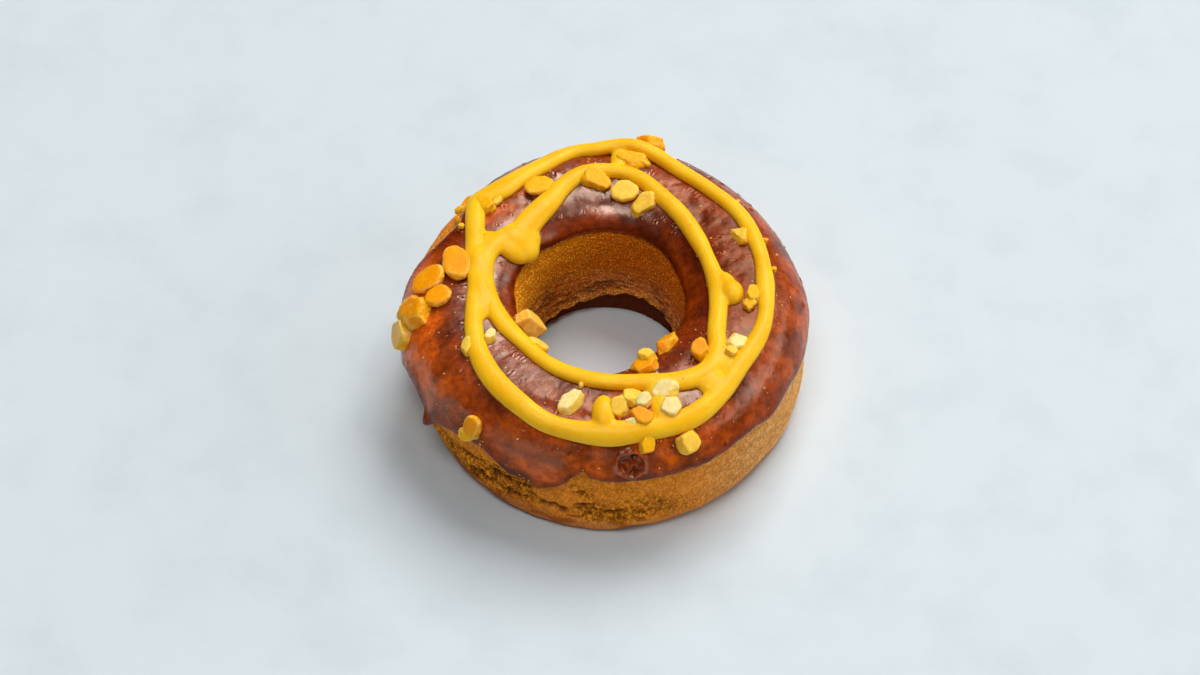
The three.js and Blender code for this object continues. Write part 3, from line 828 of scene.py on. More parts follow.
# Icing: a skin from its outer edge over the crest to its edge in the hole
icingSet = {
    "angles": 900,
    "topRows": 100,
    "rowCrowding": 0.06,
    "rootRows": 4,
    "thickness": 1.2,
    "lipLength": 1.7,
    "lipSquareness": 2.4,
    "rootDepth": 0.5,
    "outerEdge": [
        (0, 16.4), (25, 15.0), (55, 14.1), (90, 13.8), (118, 11.6), (130, 8.7), (140, 6.8), (146, 5.7),
        (152, 4.9), (157, 5.7), (163, 7.5), (168, 10.6), (174, 14.2), (180, 16.2), (192, 18.8), (203, 16.9),
        (208, 17.3), (213, 19.7), (219, 18.6), (226, 17.4), (234, 17.6), (242, 21.0), (247, 21.3),
        (252, 22.2), (258, 19.8), (264, 15.1), (267, 16.6), (288, 15.8), (304, 15.0), (312, 14.4),
        (320, 15.4), (334, 15.6), (349, 16.9),
    ],
    "innerEdge": [
        (10, 14.2), (30, 13.6), (50, 12.4), (90, 12.1), (125, 12.4), (148, 11.6), (170, 11.3), (190, 12),
        (230, 12.8), (270, 12.2), (310, 12.6), (345, 13.8),
    ],
    # relief as for the cake
    "edgeWander": (0.3, 2.6, 83, 2),
    "swell": (0.2, 9.0, 91, 2),
    "lump": (0.05, 0.16),
    "lumpNoise": (2.8, 101, 3),
    "ripple": 0.02,
    "rippleNoise": (1.3, 97, 2),
    "lumpyAngles": [(0, 0.2), (40, 0.45), (80, 0.7), (130, 0.6), (170, 0.5), (200, 0.9), (230, 1.0),
                    (262, 0.9), (290, 0.45), (320, 0.3)],
    "crestLump": 0.13,
    "crestNoise": (2.1, 103, 2),
    "crestLumps": [(0, 0.4), (20, 0.9), (45, 1), (75, 0.9), (100, 0.9), (130, 0.7), (150, 0.2), (200, 0),
                   (300, 0), (330, 0.2)],
    "pits": {"seed": 7, "count": 260, "across": (-9, 14), "radius": (0.16, 0.45), "depth": 0.6, "rim": 0.4,
             "rimPlace": 1.1, "rimWidth": 0.3, "farthest": 5},
    "blister": {"angle": 277.5, "across": 12.0, "radius": 3.0, "outline": (0.16, 1.6, 311, 2),
                "rim": 0.95, "rimPlace": 0.9, "rimWidth": 0.14, "rimRange": (0.8, 0.4),
                "rimNoise": (1.1, 313), "hollow": (0.95, 0.7), "pucker": (0.9, 1.1, 317, 2),
                "depth": 0.36},
    "blob": {"angle": 213.3, "reach": 2.2, "halfAngle": 1.1, "thick": 1.3, "ends": (4.0, 1.5)},
    # how glossy the skin is by angle, and so over the crest and on the outer slope, with where each
    # of these begins; how much less it is at the outer edge and in the hole; and the blister's gloss
    "glossRound": [(0, 0.42), (45, 0.7), (90, 1.35), (140, 1), (200, 1), (270, 0.9), (320, 0.7)],
    "glossCrest": [(0, 0.8), (30, 0.7), (55, 0.5), (75, 0.8), (90, 1.1), (112, 0.8), (132, 0.55),
                   (150, 0.7), (175, 1), (225, 1.08), (244, 0.9), (258, 0.68), (280, 0.85), (300, 1)],
    "glossOutside": [(0, 1.05), (60, 0.6), (120, 0.5), (180, 0.45), (215, 0.9), (260, 0.7), (295, 1.1),
                     (325, 1.4)],
    "glossCrestRange": (-4.5, -1.0),
    "glossOutsideRange": (4.0, 10.0),
    "glossEdge": {"share": 0.75, "range": (8.0, 3.0)},
    "glossHole": {"least": 0.2, "range": (0.8, 3.0)},
    "glossUneven": (0.4, 3.4, 109, 2),
    "glossBlister": {"ring": 0.95, "inside": 0.5},
    # how far in from the outer edge the skin is thick and dark, by angle; how thin it is in there, and
    # where that begins as a share of the width
    "beadWidth": [(0, 3.2), (90, 3.2), (165, 4.0), (190, 6.0), (215, 8.0), (236, 6.0), (252, 3.6),
                  (300, 3.0)],
    "beadThin": 0.12,
    "beadFrom": 0.2,
    # how thin and so how warm the skin is over the crest and on the outer slope, by angle
    "crestThinness": [(0, 0), (45, 0.12), (70, 0.25), (95, 0.4), (120, 0.6), (145, 0.5), (160, 0.1),
                      (180, 0), (250, 0), (275, 0.25), (300, 0.1)],
    "thinness": [(0, 0.45), (40, 0.25), (90, 0.25), (130, 0.45), (160, 0.5), (180, 1.5), (194, 2.0),
                 (208, 1.5), (218, 0.65), (232, 0.35), (243, 0.65), (258, 0.9), (272, 0.8), (288, 0.8),
                 (302, 0.45), (320, 0.32), (342, 0.4)],
    "thinSlope": (1.0, 9.0),
    "thinCrest": {"across": 0.5, "halfWidth": 3.5},
    "thinUneven": (0.5, 4.5, 107, 2),
    # the blister's ring painted lighter and warmer, partly thinner glaze and partly a painted highlight on
    # its ridges; less thin in its hollow
    "thinBlister": {"ring": 0.4, "inside": 0.55},
    "thinHole": {"share": 0.22, "begins": (1.0, 2.8), "ends": (5.5, 3.5)},
    "thinnest": 1.5,
}


# Height of the icing over the cake: full thickness, rounded off by a superellipse at both edges
def icingLift(wish, fromEdge, thickness):
    inward = np.clip(1 - fromEdge / wish["lipLength"], 0, 1)
    return thickness * (1 - inward ** wish["lipSquareness"]) ** (1 / wish["lipSquareness"])


# Small broken bubbles: a bowl with a raised rim at each drawn place on the skin
def pitRelief(wish, points):
    pits = wish["pits"]
    draw = np.random.default_rng(pits["seed"])
    relief = np.zeros(points.shape[:-1])
    rowAngles = np.arange(len(points)) * 360 / len(points)
    for _ in range(pits["count"]):
        angle = draw.uniform(0, 360)
        across = draw.uniform(*pits["across"])
        radius = draw.uniform(*pits["radius"])
        centre = ringPoint(angle, across, wish["thickness"])
        near = np.abs(angleFrom(angle, rowAngles)) < pits["farthest"]
        distance = np.linalg.norm(points[near] - centre, axis=-1) / radius
        bowl = -pits["depth"] * radius * np.clip(1 - distance**2, 0, 1)
        rim = pits["rim"] * radius * np.exp(-(((distance - pits["rimPlace"]) / pits["rimWidth"]) ** 2))
        relief[near] += bowl + rim
    return relief


# One large broken bubble: an uneven raised ring round a puckered hollow; also where each of them is
def blisterRelief(wish, points):
    blister = wish["blister"]
    centre = ringPoint(blister["angle"], blister["across"], wish["thickness"])
    radius = blister["radius"] * (1 + unevenness(points, blister["outline"]))
    distance = np.linalg.norm(points - centre, axis=-1) / radius
    ring = np.exp(-(((distance - blister["rimPlace"]) / blister["rimWidth"]) ** 2))
    inside = smoothStep(*blister["hollow"], distance)
    middle, change = blister["rimRange"]
    rim = blister["rim"] * ring * (middle + change * cellNoise(points, *blister["rimNoise"]))
    puckers = unevenness(points, blister["pucker"]) - blister["depth"]
    return rim + inside * puckers, ring, inside


# Low relief of the skin in mm: broad swells, lumps that differ by angle, ripples, a lumpy crest, pits
def icingRelief(wish, angle, across, points):
    lumpy = courseAt(wish["lumpyAngles"], angle)[:, None] * smoothStep(2, 8, across)
    smooth, rough = wish["lump"]
    relief = unevenness(points, wish["swell"])
    relief = relief + (smooth + (rough - smooth) * lumpy) * layeredNoise(points, *wish["lumpNoise"])
    relief = relief + wish["ripple"] * (1 + 1.5 * lumpy) * layeredNoise(points, *wish["rippleNoise"])
    crestBand = np.exp(-(((across + 0.5) / 4.0) ** 4))
    crestLumps = courseAt(wish["crestLumps"], angle)[:, None] * crestBand
    relief = relief + wish["crestLump"] * crestLumps * layeredNoise(points, *wish["crestNoise"])
    return relief + pitRelief(wish, points)


# How thin the skin is: on the outer slope and over the crest by angle, thick and dark in a bead along
# the outer edge, and a little thinner in a band beside the hole
def icingThinness(wish, angle, across, fromOuter, fromInner, points, ring, inside):
    blister, crest, hole = wish["thinBlister"], wish["thinCrest"], wish["thinHole"]
    thin = smoothStep(*wish["thinSlope"], across) * courseAt(wish["thinness"], angle)[:, None]
    thin = thin * (1 + unevenness(points, wish["thinUneven"])) * (1 - blister["inside"] * inside)
    # the blister's ring made thinner and so lighter: partly thin glaze, partly a painted highlight on its
    # ridges
    thin = np.clip(thin + blister["ring"] * ring, 0, wish["thinnest"])
    overCrest = np.exp(-(((across - crest["across"]) / crest["halfWidth"]) ** 2))
    thin = np.maximum(thin, courseAt(wish["crestThinness"], angle)[:, None] * overCrest)
    bead = courseAt(wish["beadWidth"], angle)[:, None]
    pastBead = smoothStep(wish["beadFrom"] * bead, bead, fromOuter)
    thin = thin * (wish["beadThin"] + (1 - wish["beadThin"]) * pastBead)
    band = smoothStep(*hole["ends"], fromInner) * smoothStep(*hole["begins"], fromInner)
    return thin + hole["share"] * band


# How glossy the skin is: over the crest and on the outer slope by angle, less at both edges, uneven
def icingGloss(wish, angle, across, fromOuter, fromInner, points, ring, inside):
    edge, hole, blister = wish["glossEdge"], wish["glossHole"], wish["glossBlister"]
    crest = smoothStep(*wish["glossCrestRange"], across)
    outside = smoothStep(*wish["glossOutsideRange"], across)
    gloss = 1 + crest * (courseAt(wish["glossCrest"], angle)[:, None] - 1)
    gloss = gloss + outside * (courseAt(wish["glossOutside"], angle)[:, None] - gloss)
    gloss = gloss * (1 - edge["share"] * smoothStep(*edge["range"], fromOuter))
    gloss = gloss * courseAt(wish["glossRound"], angle)[:, None]
    gloss = gloss * (hole["least"] + (1 - hole["least"]) * smoothStep(*hole["range"], fromInner))
    gloss = gloss * (1 + unevenness(points, wish["glossUneven"]))
    return np.maximum(gloss, blister["ring"] * ring + blister["inside"] * inside)


# The skin in rows from its outer edge to the hole, closed by a root sunk in the cake
def makeIcing(wish):
    angle = np.linspace(0, 360, wish["angles"], endpoint=False)
    edgeLine = ringPoint(angle, 16.0, 0)
    wander = unevenness(edgeLine, wish["edgeWander"])
    blob = wish["blob"]
    blobAt = np.exp(-((angleFrom(blob["angle"], angle) / blob["halfAngle"]) ** 2))
    outer = courseAt(wish["outerEdge"], angle) + wander + blob["reach"] * blobAt
    inner = -courseAt(wish["innerEdge"], angle) + 0.6 * wander[::-1]
    even = np.linspace(0, 1, wish["topRows"])
    over = even - wish["rowCrowding"] * np.sin(2 * np.pi * even)
    across = outer[:, None] + (inner - outer)[:, None] * over[None]
    fromOuter, fromInner = outer[:, None] - across, across - inner[:, None]
    blobHeight = blob["thick"] * blobAt[:, None] * smoothStep(*blob["ends"], fromOuter)
    lift = icingLift(wish, np.minimum(fromOuter, fromInner), wish["thickness"] + blobHeight)
    points = ringPoint(angle[:, None], across, lift)
    blisterHeight, ring, inside = blisterRelief(wish, points)
    relief = icingRelief(wish, angle, across, points) + blisterHeight
    full = np.clip(lift / wish["thickness"], 0, 1)
    points = ringPoint(angle[:, None], across, lift + relief * full)
    back = np.linspace(0, 1, wish["rootRows"])
    rootAcross = inner[:, None] + (outer - inner)[:, None] * back[None]
    root = ringPoint(angle[:, None], rootAcross, -wish["rootDepth"])
    whole = np.concatenate([points, root], 1)
    faces = gridFaces(len(angle), whole.shape[1], True, True)
    under = np.ones(root.shape[:2])
    # nearness to the outer edge, which carries the painted reflection of the floor along the lip
    edge = np.clip(1 - fromOuter / 2.0, 0, 1) * (1 - blobAt[:, None])
    place = (wish, angle, across, fromOuter, fromInner, points, ring, inside)
    return makePiece("icingSkin", whole, faces, {
        "edge": np.concatenate([edge, under * back], 1).ravel(),
        "thin": np.concatenate([icingThinness(*place), under], 1).ravel(),
        "gloss": np.concatenate([icingGloss(*place), under], 1).ravel(),
    })


icingLook = {
    "deep": (0.085, 0.009, 0.001),
    "brown": (0.21, 0.024, 0.001),
    "warm": (0.63, 0.096, 0.002),
    "bright": (0.86, 0.135, 0.002),
    # mauve grey along the outer edge: a painted reflection of the pale floor
    "lip": (0.28, 0.12, 0.09),
    "crumb": (0.85, 0.45, 0.12),
    # thick dark and thin bright patches: noises as size in metres, detail and roughness
    "broadNoise": (0.009, 2, 0.5),
    "patchNoise": (0.0048, 3, 0.4),
    "broadShare": 0.6,
    "deepRange": (0.56, 0.38),
    "deepShare": (0.8, -0.15),
    "brightRange": (0.46, 0.72),
    "brightShare": 0.65,
    "thinnestRange": (0.95, 1.45),
    "thinnestShare": 0.6,
    "mottleNoise": (0.0013, 4, 0.7),
    "mottleRange": (0.38, 0.62),
    "mottleDark": (0.72, 0.66, 0.66),
    "mottleLight": (1.18, 1.2, 1.2),
    "sheenDeep": (1.0, 0.42, 0.14),
    "sheenPale": (1.0, 0.78, 0.62),
    # specks as scale, share of cells and radius
    "spots": (380.0, 0.12, 0.3),
    "spotShare": 0.55,
    "dust": (900.0, 0.05, 0.16),
    "dustShare": 0.7,
    "bubbles": (1100.0, 0.10, 0.35),
    # where and how strongly the outer edge takes the painted reflection
    "lipRange": (0.7, 1.0),
    "lipShare": 0.22,
    "roughness": (0.17, 0.36),
    "roughNoise": (0.003, 4, 0.6),
    "roughRange": (0.3, 0.7),
    "specular": (0.04, 1.0),
    "refraction": 1.56,
    "dentNoise": (0.003, 2, 0.5),
    "dentBump": (0.00025, 0.35),
    "fineNoise": (0.0007, 3, 0.65),
    "fineShare": 0.3,
    "fineBump": (0.00012, 0.6),
}


# Set chocolate: brown where it is thick and warm where it is thin, mottled, dusted and glossy in parts, with
# a painted reflection of the floor along its outer edge
def makeIcingMaterial(look):
    material, tree, shader, place = newMaterial("setChocolate")
    thin = tree.attribute("thin")
    edge = tree.attribute("edge")
    gloss = tree.attribute("gloss")
    patches = tree.noise(place, *look["patchNoise"])
    broad = tree.math("MULTIPLY", tree.noise(place, *look["broadNoise"]), look["broadShare"])
    depth = tree.math("ADD", broad, tree.math("MULTIPLY", patches, 1 - look["broadShare"]))
    deepest, fall = look["deepShare"]
    deep = tree.math("MULTIPLY", tree.ramp(depth, *look["deepRange"]),
                     tree.math("MULTIPLY_ADD", thin, fall, deepest))
    bright = tree.math("MULTIPLY", tree.ramp(patches, *look["brightRange"]),
                       tree.math("MULTIPLY", thin, look["brightShare"]))
    thinnest = tree.math("MULTIPLY", tree.ramp(thin, *look["thinnestRange"]), look["thinnestShare"])
    mottle = tree.ramp(tree.noise(place, *look["mottleNoise"]), *look["mottleRange"])
    spots = tree.math("MULTIPLY", specks(tree, place, *look["spots"]), look["spotShare"])
    # painted reflection: the pale floor's reflection painted as a mauve grey line along the outer edge
    lip = tree.math("MULTIPLY", tree.ramp(edge, *look["lipRange"]), look["lipShare"])
    dust = specks(tree, place, *look["dust"])
    colour = tree.mix(tree.ramp(thin, 0.0, 1.0), look["brown"], look["warm"])
    colour = tree.mix(deep, colour, look["deep"])
    colour = tree.mix(bright, colour, look["bright"])
    colour = tree.mix(thinnest, colour, look["bright"])
    colour = tree.mix(1.0, colour, tree.mix(mottle, look["mottleDark"], look["mottleLight"]), "MULTIPLY")
    colour = tree.mix(spots, colour, look["deep"])
    colour = tree.mix(lip, colour, look["lip"])
    colour = tree.mix(tree.math("MULTIPLY", dust, look["dustShare"]), colour, look["crumb"])
    tree.link(colour, shader.inputs["Base Color"])
    rough = tree.spread(tree.noise(place, *look["roughNoise"]), look["roughRange"], look["roughness"])
    tree.link(rough, shader.inputs["Roughness"])
    tree.link(tree.spread(gloss, (0, 1), look["specular"]), shader.inputs["Specular IOR Level"])
    shader.inputs["IOR"].default_value = look["refraction"]
    tree.link(tree.mix(gloss, look["sheenDeep"], look["sheenPale"]), shader.inputs["Specular Tint"])
    dents = bumpFrom(tree, tree.noise(place, *look["dentNoise"]), *look["dentBump"])
    fine = tree.math("MULTIPLY", tree.noise(place, *look["fineNoise"]), look["fineShare"])
    bubbles = specks(tree, place, *look["bubbles"])
    height = tree.math("ADD", fine, tree.math("ADD", bubbles, dust))
    tree.link(bumpFrom(tree, height, *look["fineBump"], dents), shader.inputs["Normal"])
    return material


icing = makeIcing(icingSet)
icing.data.materials.append(makeIcingMaterial(icingLook))
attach(icing, body)
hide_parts("chocolate_icing")
print("icing made:", len(icing.data.polygons), "faces")

# Peanut butter: two ribbons and wider pools, grown into one body and smoothed
butterSet = {
    "steps": 900,
    "round": 20,
    "halfHeight": 1.5,
    "lift": 0.25,
    "poolRings": 24,
    "poolSpokes": 36,
    "poolPole": 0.02,
    "voxel": 0.26,
    "smoothing": 20,
    "smoothShare": 0.5,
    "ribbons": [
        {"course": [
            (0, 2.8), (17, 3.1), (33, 3.7), (48, 3.4), (62, 3.8), (74, 5.2), (84, 5.8), (92, 5.4),
            (100, 5.7), (113, 3.8), (130, 2.9), (140, 4.1), (146, 2.2), (153, 0.1), (162, -1.7), (180, -3.6),
            (195, -2.6), (206, -0.8), (217, 1.2), (229, 3.1), (241, 4.8), (252, 6.5), (267, 6.8),
            (283, 6.3), (297, 6.2), (310, 5.1), (323, 3.8), (340, 3.7)],
         "halfWidth": [(0, 1.95), (8, 1.65), (30, 1.75), (50, 1.6), (65, 1.7), (80, 1.75), (98, 1.85),
                       (107, 2.05), (118, 2.2), (130, 2.7), (138, 2.2), (148, 2.05), (180, 1.9), (210, 1.9),
                       (222, 2.2), (235, 2.25), (250, 2.0), (260, 2.0), (272, 2.5), (283, 2.15), (300, 2.2),
                       (312, 1.95), (330, 1.95), (347, 1.6)],
         "rise": [(0, 0), (60, 0), (72, 0.7), (80, 1.3), (88, 0.7), (100, 0), (200, 0)]},
        {"course": [
            (0, -6.0), (17, -6.5), (34, -6.1), (50, -4.8), (62, -3.4), (78, -0.3), (90, 0.3), (98, 0),
            (107, -2.2), (118, -4.9), (132, -6.4), (142, -6.9), (158, -4.6), (170, -4.6), (190, -5.7),
            (206, -6.7), (221, -7.5), (237, -7.2), (252, -6.5), (262, -5.9), (285, -3.4), (301, 0),
            (312, 0.9), (322, -0.7), (329, -3.0), (341, -4.7)],
         "halfWidth": [(0, 1.85), (18, 1.6), (30, 1.85), (60, 1.85), (94, 1.65), (104, 1.95), (112, 2.2),
                       (120, 2.5), (132, 2.7), (142, 2.8), (165, 1.9), (192, 1.9), (206, 2.1), (232, 1.7),
                       (250, 1.85), (285, 1.8), (303, 2.2), (312, 2.1), (325, 1.9)],
         "rise": [(0, 0), (180, 0)]},
    ],
    # a hanging drop, the strands that run together on the left, bridges and coated peanuts: angle,
    # across, length, width, height and plan direction of the long side
    "pools": [
        (146.5, -8.0, 9, 7.4, 4.2, -35),
        (153, -8.0, 7, 5, 3.6, -20),
        (146, -9.6, 5.6, 4.8, 3.4, -40),
        (140, -8.5, 5.5, 5, 3.6, -50),
        (185, -4.3, 15, 4.6, 3.9, 95),
        (168, -3.2, 9, 5, 4.1, 88),
        (158, -3.8, 7.4, 5.4, 3.2, 80),
        (84, 3.2, 6, 4, 2.8, 80),
        (270, 3.1, 7.4, 4.6, 4, 88),
        (291, -1.4, 6, 4.6, 3.2, 95),
        (290, 3.6, 8, 4.6, 3, 95),
        (353.5, -3.1, 5.8, 4.6, 4.6, 95),
        (0, -4.3, 5.4, 3.6, 3.4, 120),
        (320, 0.9, 7.4, 6, 3.2, 55),
        (310, 3.2, 6, 5, 3.2, 40),
    ],
}


# Frame on the icing: origin, forward, side and up, with forward along a plan heading in degrees
def icingFrame(angle, across, lift, heading):
    origin = ringPoint(angle, across, icingSet["thickness"] + lift)
    up = ringPoint(angle, across, 1) - ringPoint(angle, across, 0)
    turn = math.radians(heading)
    side = np.array([-math.sin(turn), math.cos(turn), 0])
    side = side - up * (side @ up)
    side /= np.linalg.norm(side)
    return origin, np.stack([np.cross(side, up), side, up])


# One ribbon: an oval carried along its course over the icing
def ribbonPoints(wish, ribbon):
    angle = np.linspace(0, 360, wish["steps"], endpoint=False)
    step = 360 / wish["steps"]

    def middle(at):
        lift = icingSet["thickness"] + wish["lift"] + courseAt(ribbon["rise"], at)
        return ringPoint(at, courseAt(ribbon["course"], at), lift)

    across = courseAt(ribbon["course"], angle)
    up = ringPoint(angle, across, 1) - ringPoint(angle, across, 0)
    along = middle(angle + step) - middle(angle - step)
    side = np.cross(along, up)
    side /= np.linalg.norm(side, axis=1, keepdims=True)
    turn = np.linspace(0, 2 * np.pi, wish["round"], endpoint=False)
    width = courseAt(ribbon["halfWidth"], angle)[:, None, None]
    return (middle(angle)[:, None] + width * side[:, None] * np.cos(turn)[None, :, None]
            + wish["halfHeight"] * up[:, None] * np.sin(turn)[None, :, None])


# Directions over a sphere by latitude and longitude, from a little way off one pole to the other
def ballDirections(rings, spokes, pole):
    latitude = np.linspace(pole, np.pi - pole, rings)[:, None]
    longitude = np.linspace(0, 2 * np.pi, spokes, endpoint=False)[None]
    return np.stack([np.sin(latitude) * np.cos(longitude), np.sin(latitude) * np.sin(longitude),
                     np.broadcast_to(np.cos(latitude), (rings, spokes))], -1)


# One pool: an ellipsoid half sunk in the icing
def poolPoints(wish, pool):
    out = ballDirections(wish["poolRings"], wish["poolSpokes"], wish["poolPole"])
    angle, across, long, wide, tall, heading = pool
    origin, axes = icingFrame(angle, across, 0, heading)
    return origin + out * (long, wide, tall) / 2 @ axes


# Grids of vertices joined into one list of vertices and faces; open ends are closed by fans
def joinGrids(grids):
    points, faces, start = [], [], 0
    for grid, closedRows in grids:
        rows, columns = grid.shape[:2]
        quads = gridFaces(rows, columns, closedRows, True)
        if not closedRows:
            caps = np.stack([grid[0].mean(0), grid[-1].mean(0)])
            top, bottom = rows * columns, rows * columns + 1
            j = np.arange(columns)
            after = (j + 1) % columns
            last = (rows - 1) * columns
            capTop = np.stack([np.full(columns, top), j, after, after], 1)
            capBottom = np.stack([np.full(columns, bottom), last + after, last + j, last + j], 1)
            quads = np.concatenate([quads, capTop, capBottom])
            grid = np.concatenate([grid.reshape(-1, 3), caps])
        points.append(grid.reshape(-1, 3))
        faces.append(quads + start)
        start += len(points[-1])
    return np.concatenate(points), np.concatenate(faces)


# Mesh of triangles: a face whose last two corners agree is one, and any other is cut into two
def makeTrianglePiece(name, points, faces, attributes=None):
    flat = faces[:, 2] == faces[:, 3]
    triangles = np.concatenate([faces[flat][:, :3], faces[~flat][:, [0, 1, 2]], faces[~flat][:, [0, 2, 3]]])
    return makePiece(name, points, triangles, attributes)


# Puts the result of a piece's modifiers into its mesh
def applyModifiers(piece):
    graph = bpy.context.evaluated_depsgraph_get()
    mesh = bpy.data.meshes.new_from_object(piece.evaluated_get(graph))
    mesh.name = piece.name
    piece.modifiers.clear()
    piece.data = mesh
    mesh.shade_smooth()


# Ribbons and pools grown together by a voxel remesh and smoothed
def makeButter(wish):
    grids = [(ribbonPoints(wish, ribbon), True) for ribbon in wish["ribbons"]]
    grids += [(poolPoints(wish, pool), False) for pool in wish["pools"]]
    butter = makeTrianglePiece("butterRibbons", *joinGrids(grids))
    remesh = butter.modifiers.new("grow", "REMESH")
    remesh.mode = "VOXEL"
    remesh.voxel_size = wish["voxel"] * millimetre
    smooth = butter.modifiers.new("settle", "SMOOTH")
    smooth.factor = wish["smoothShare"]
    smooth.iterations = wish["smoothing"]
    applyModifiers(butter)
    return butter


butterLook = {
    "light": (0.97, 0.545, 0.015),
    "deep": (0.93, 0.475, 0.007),
    "speck": (0.5, 0.22, 0.01),
    "broadNoise": (0.006, 3, 0.5),
    "broadRange": (0.35, 0.65),
    "specks": (900.0, 0.06, 0.28),
    "speckShare": 0.55,
    "fineNoise": (0.0009, 3, 0.55),
    "fineBump": (0.00014, 0.45),
    "speckDip": 0.5,
    "roughness": 0.33,
    "specular": 0.14,
    "softness": 0.5,
    "softReach": (1.0, 0.5, 0.1),
    "softScale": 0.0014,
}


# A shader's finish for food that light goes a little way into
def softFinish(shader, look):
    shader.inputs["Roughness"].default_value = look["roughness"]
    shader.inputs["Specular IOR Level"].default_value = look["specular"]
    shader.inputs["Subsurface Weight"].default_value = look["softness"]
    shader.inputs["Subsurface Radius"].default_value = look["softReach"]
    shader.inputs["Subsurface Scale"].default_value = look["softScale"]


# Peanut butter: two close yellows, small brown specks that lie a little deeper and a fine unevenness
def makeButterMaterial(look):
    material, tree, shader, place = newMaterial("peanutButter")
    broad = tree.ramp(tree.noise(place, *look["broadNoise"]), *look["broadRange"])
    dot = specks(tree, place, *look["specks"])
    colour = tree.mix(broad, look["deep"], look["light"])
    colour = tree.mix(tree.math("MULTIPLY", dot, look["speckShare"]), colour, look["speck"])
    tree.link(colour, shader.inputs["Base Color"])
    softFinish(shader, look)
    fine = tree.noise(place, *look["fineNoise"])
    height = tree.math("SUBTRACT", fine, tree.math("MULTIPLY", dot, look["speckDip"]))
    tree.link(bumpFrom(tree, height, *look["fineBump"]), shader.inputs["Normal"])
    return material


butter = makeButter(butterSet)
butter.data.materials.append(makeButterMaterial(butterLook))
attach(butter, body)
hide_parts("chocolate_icing")
print("peanut butter made:", len(butter.data.polygons), "faces")

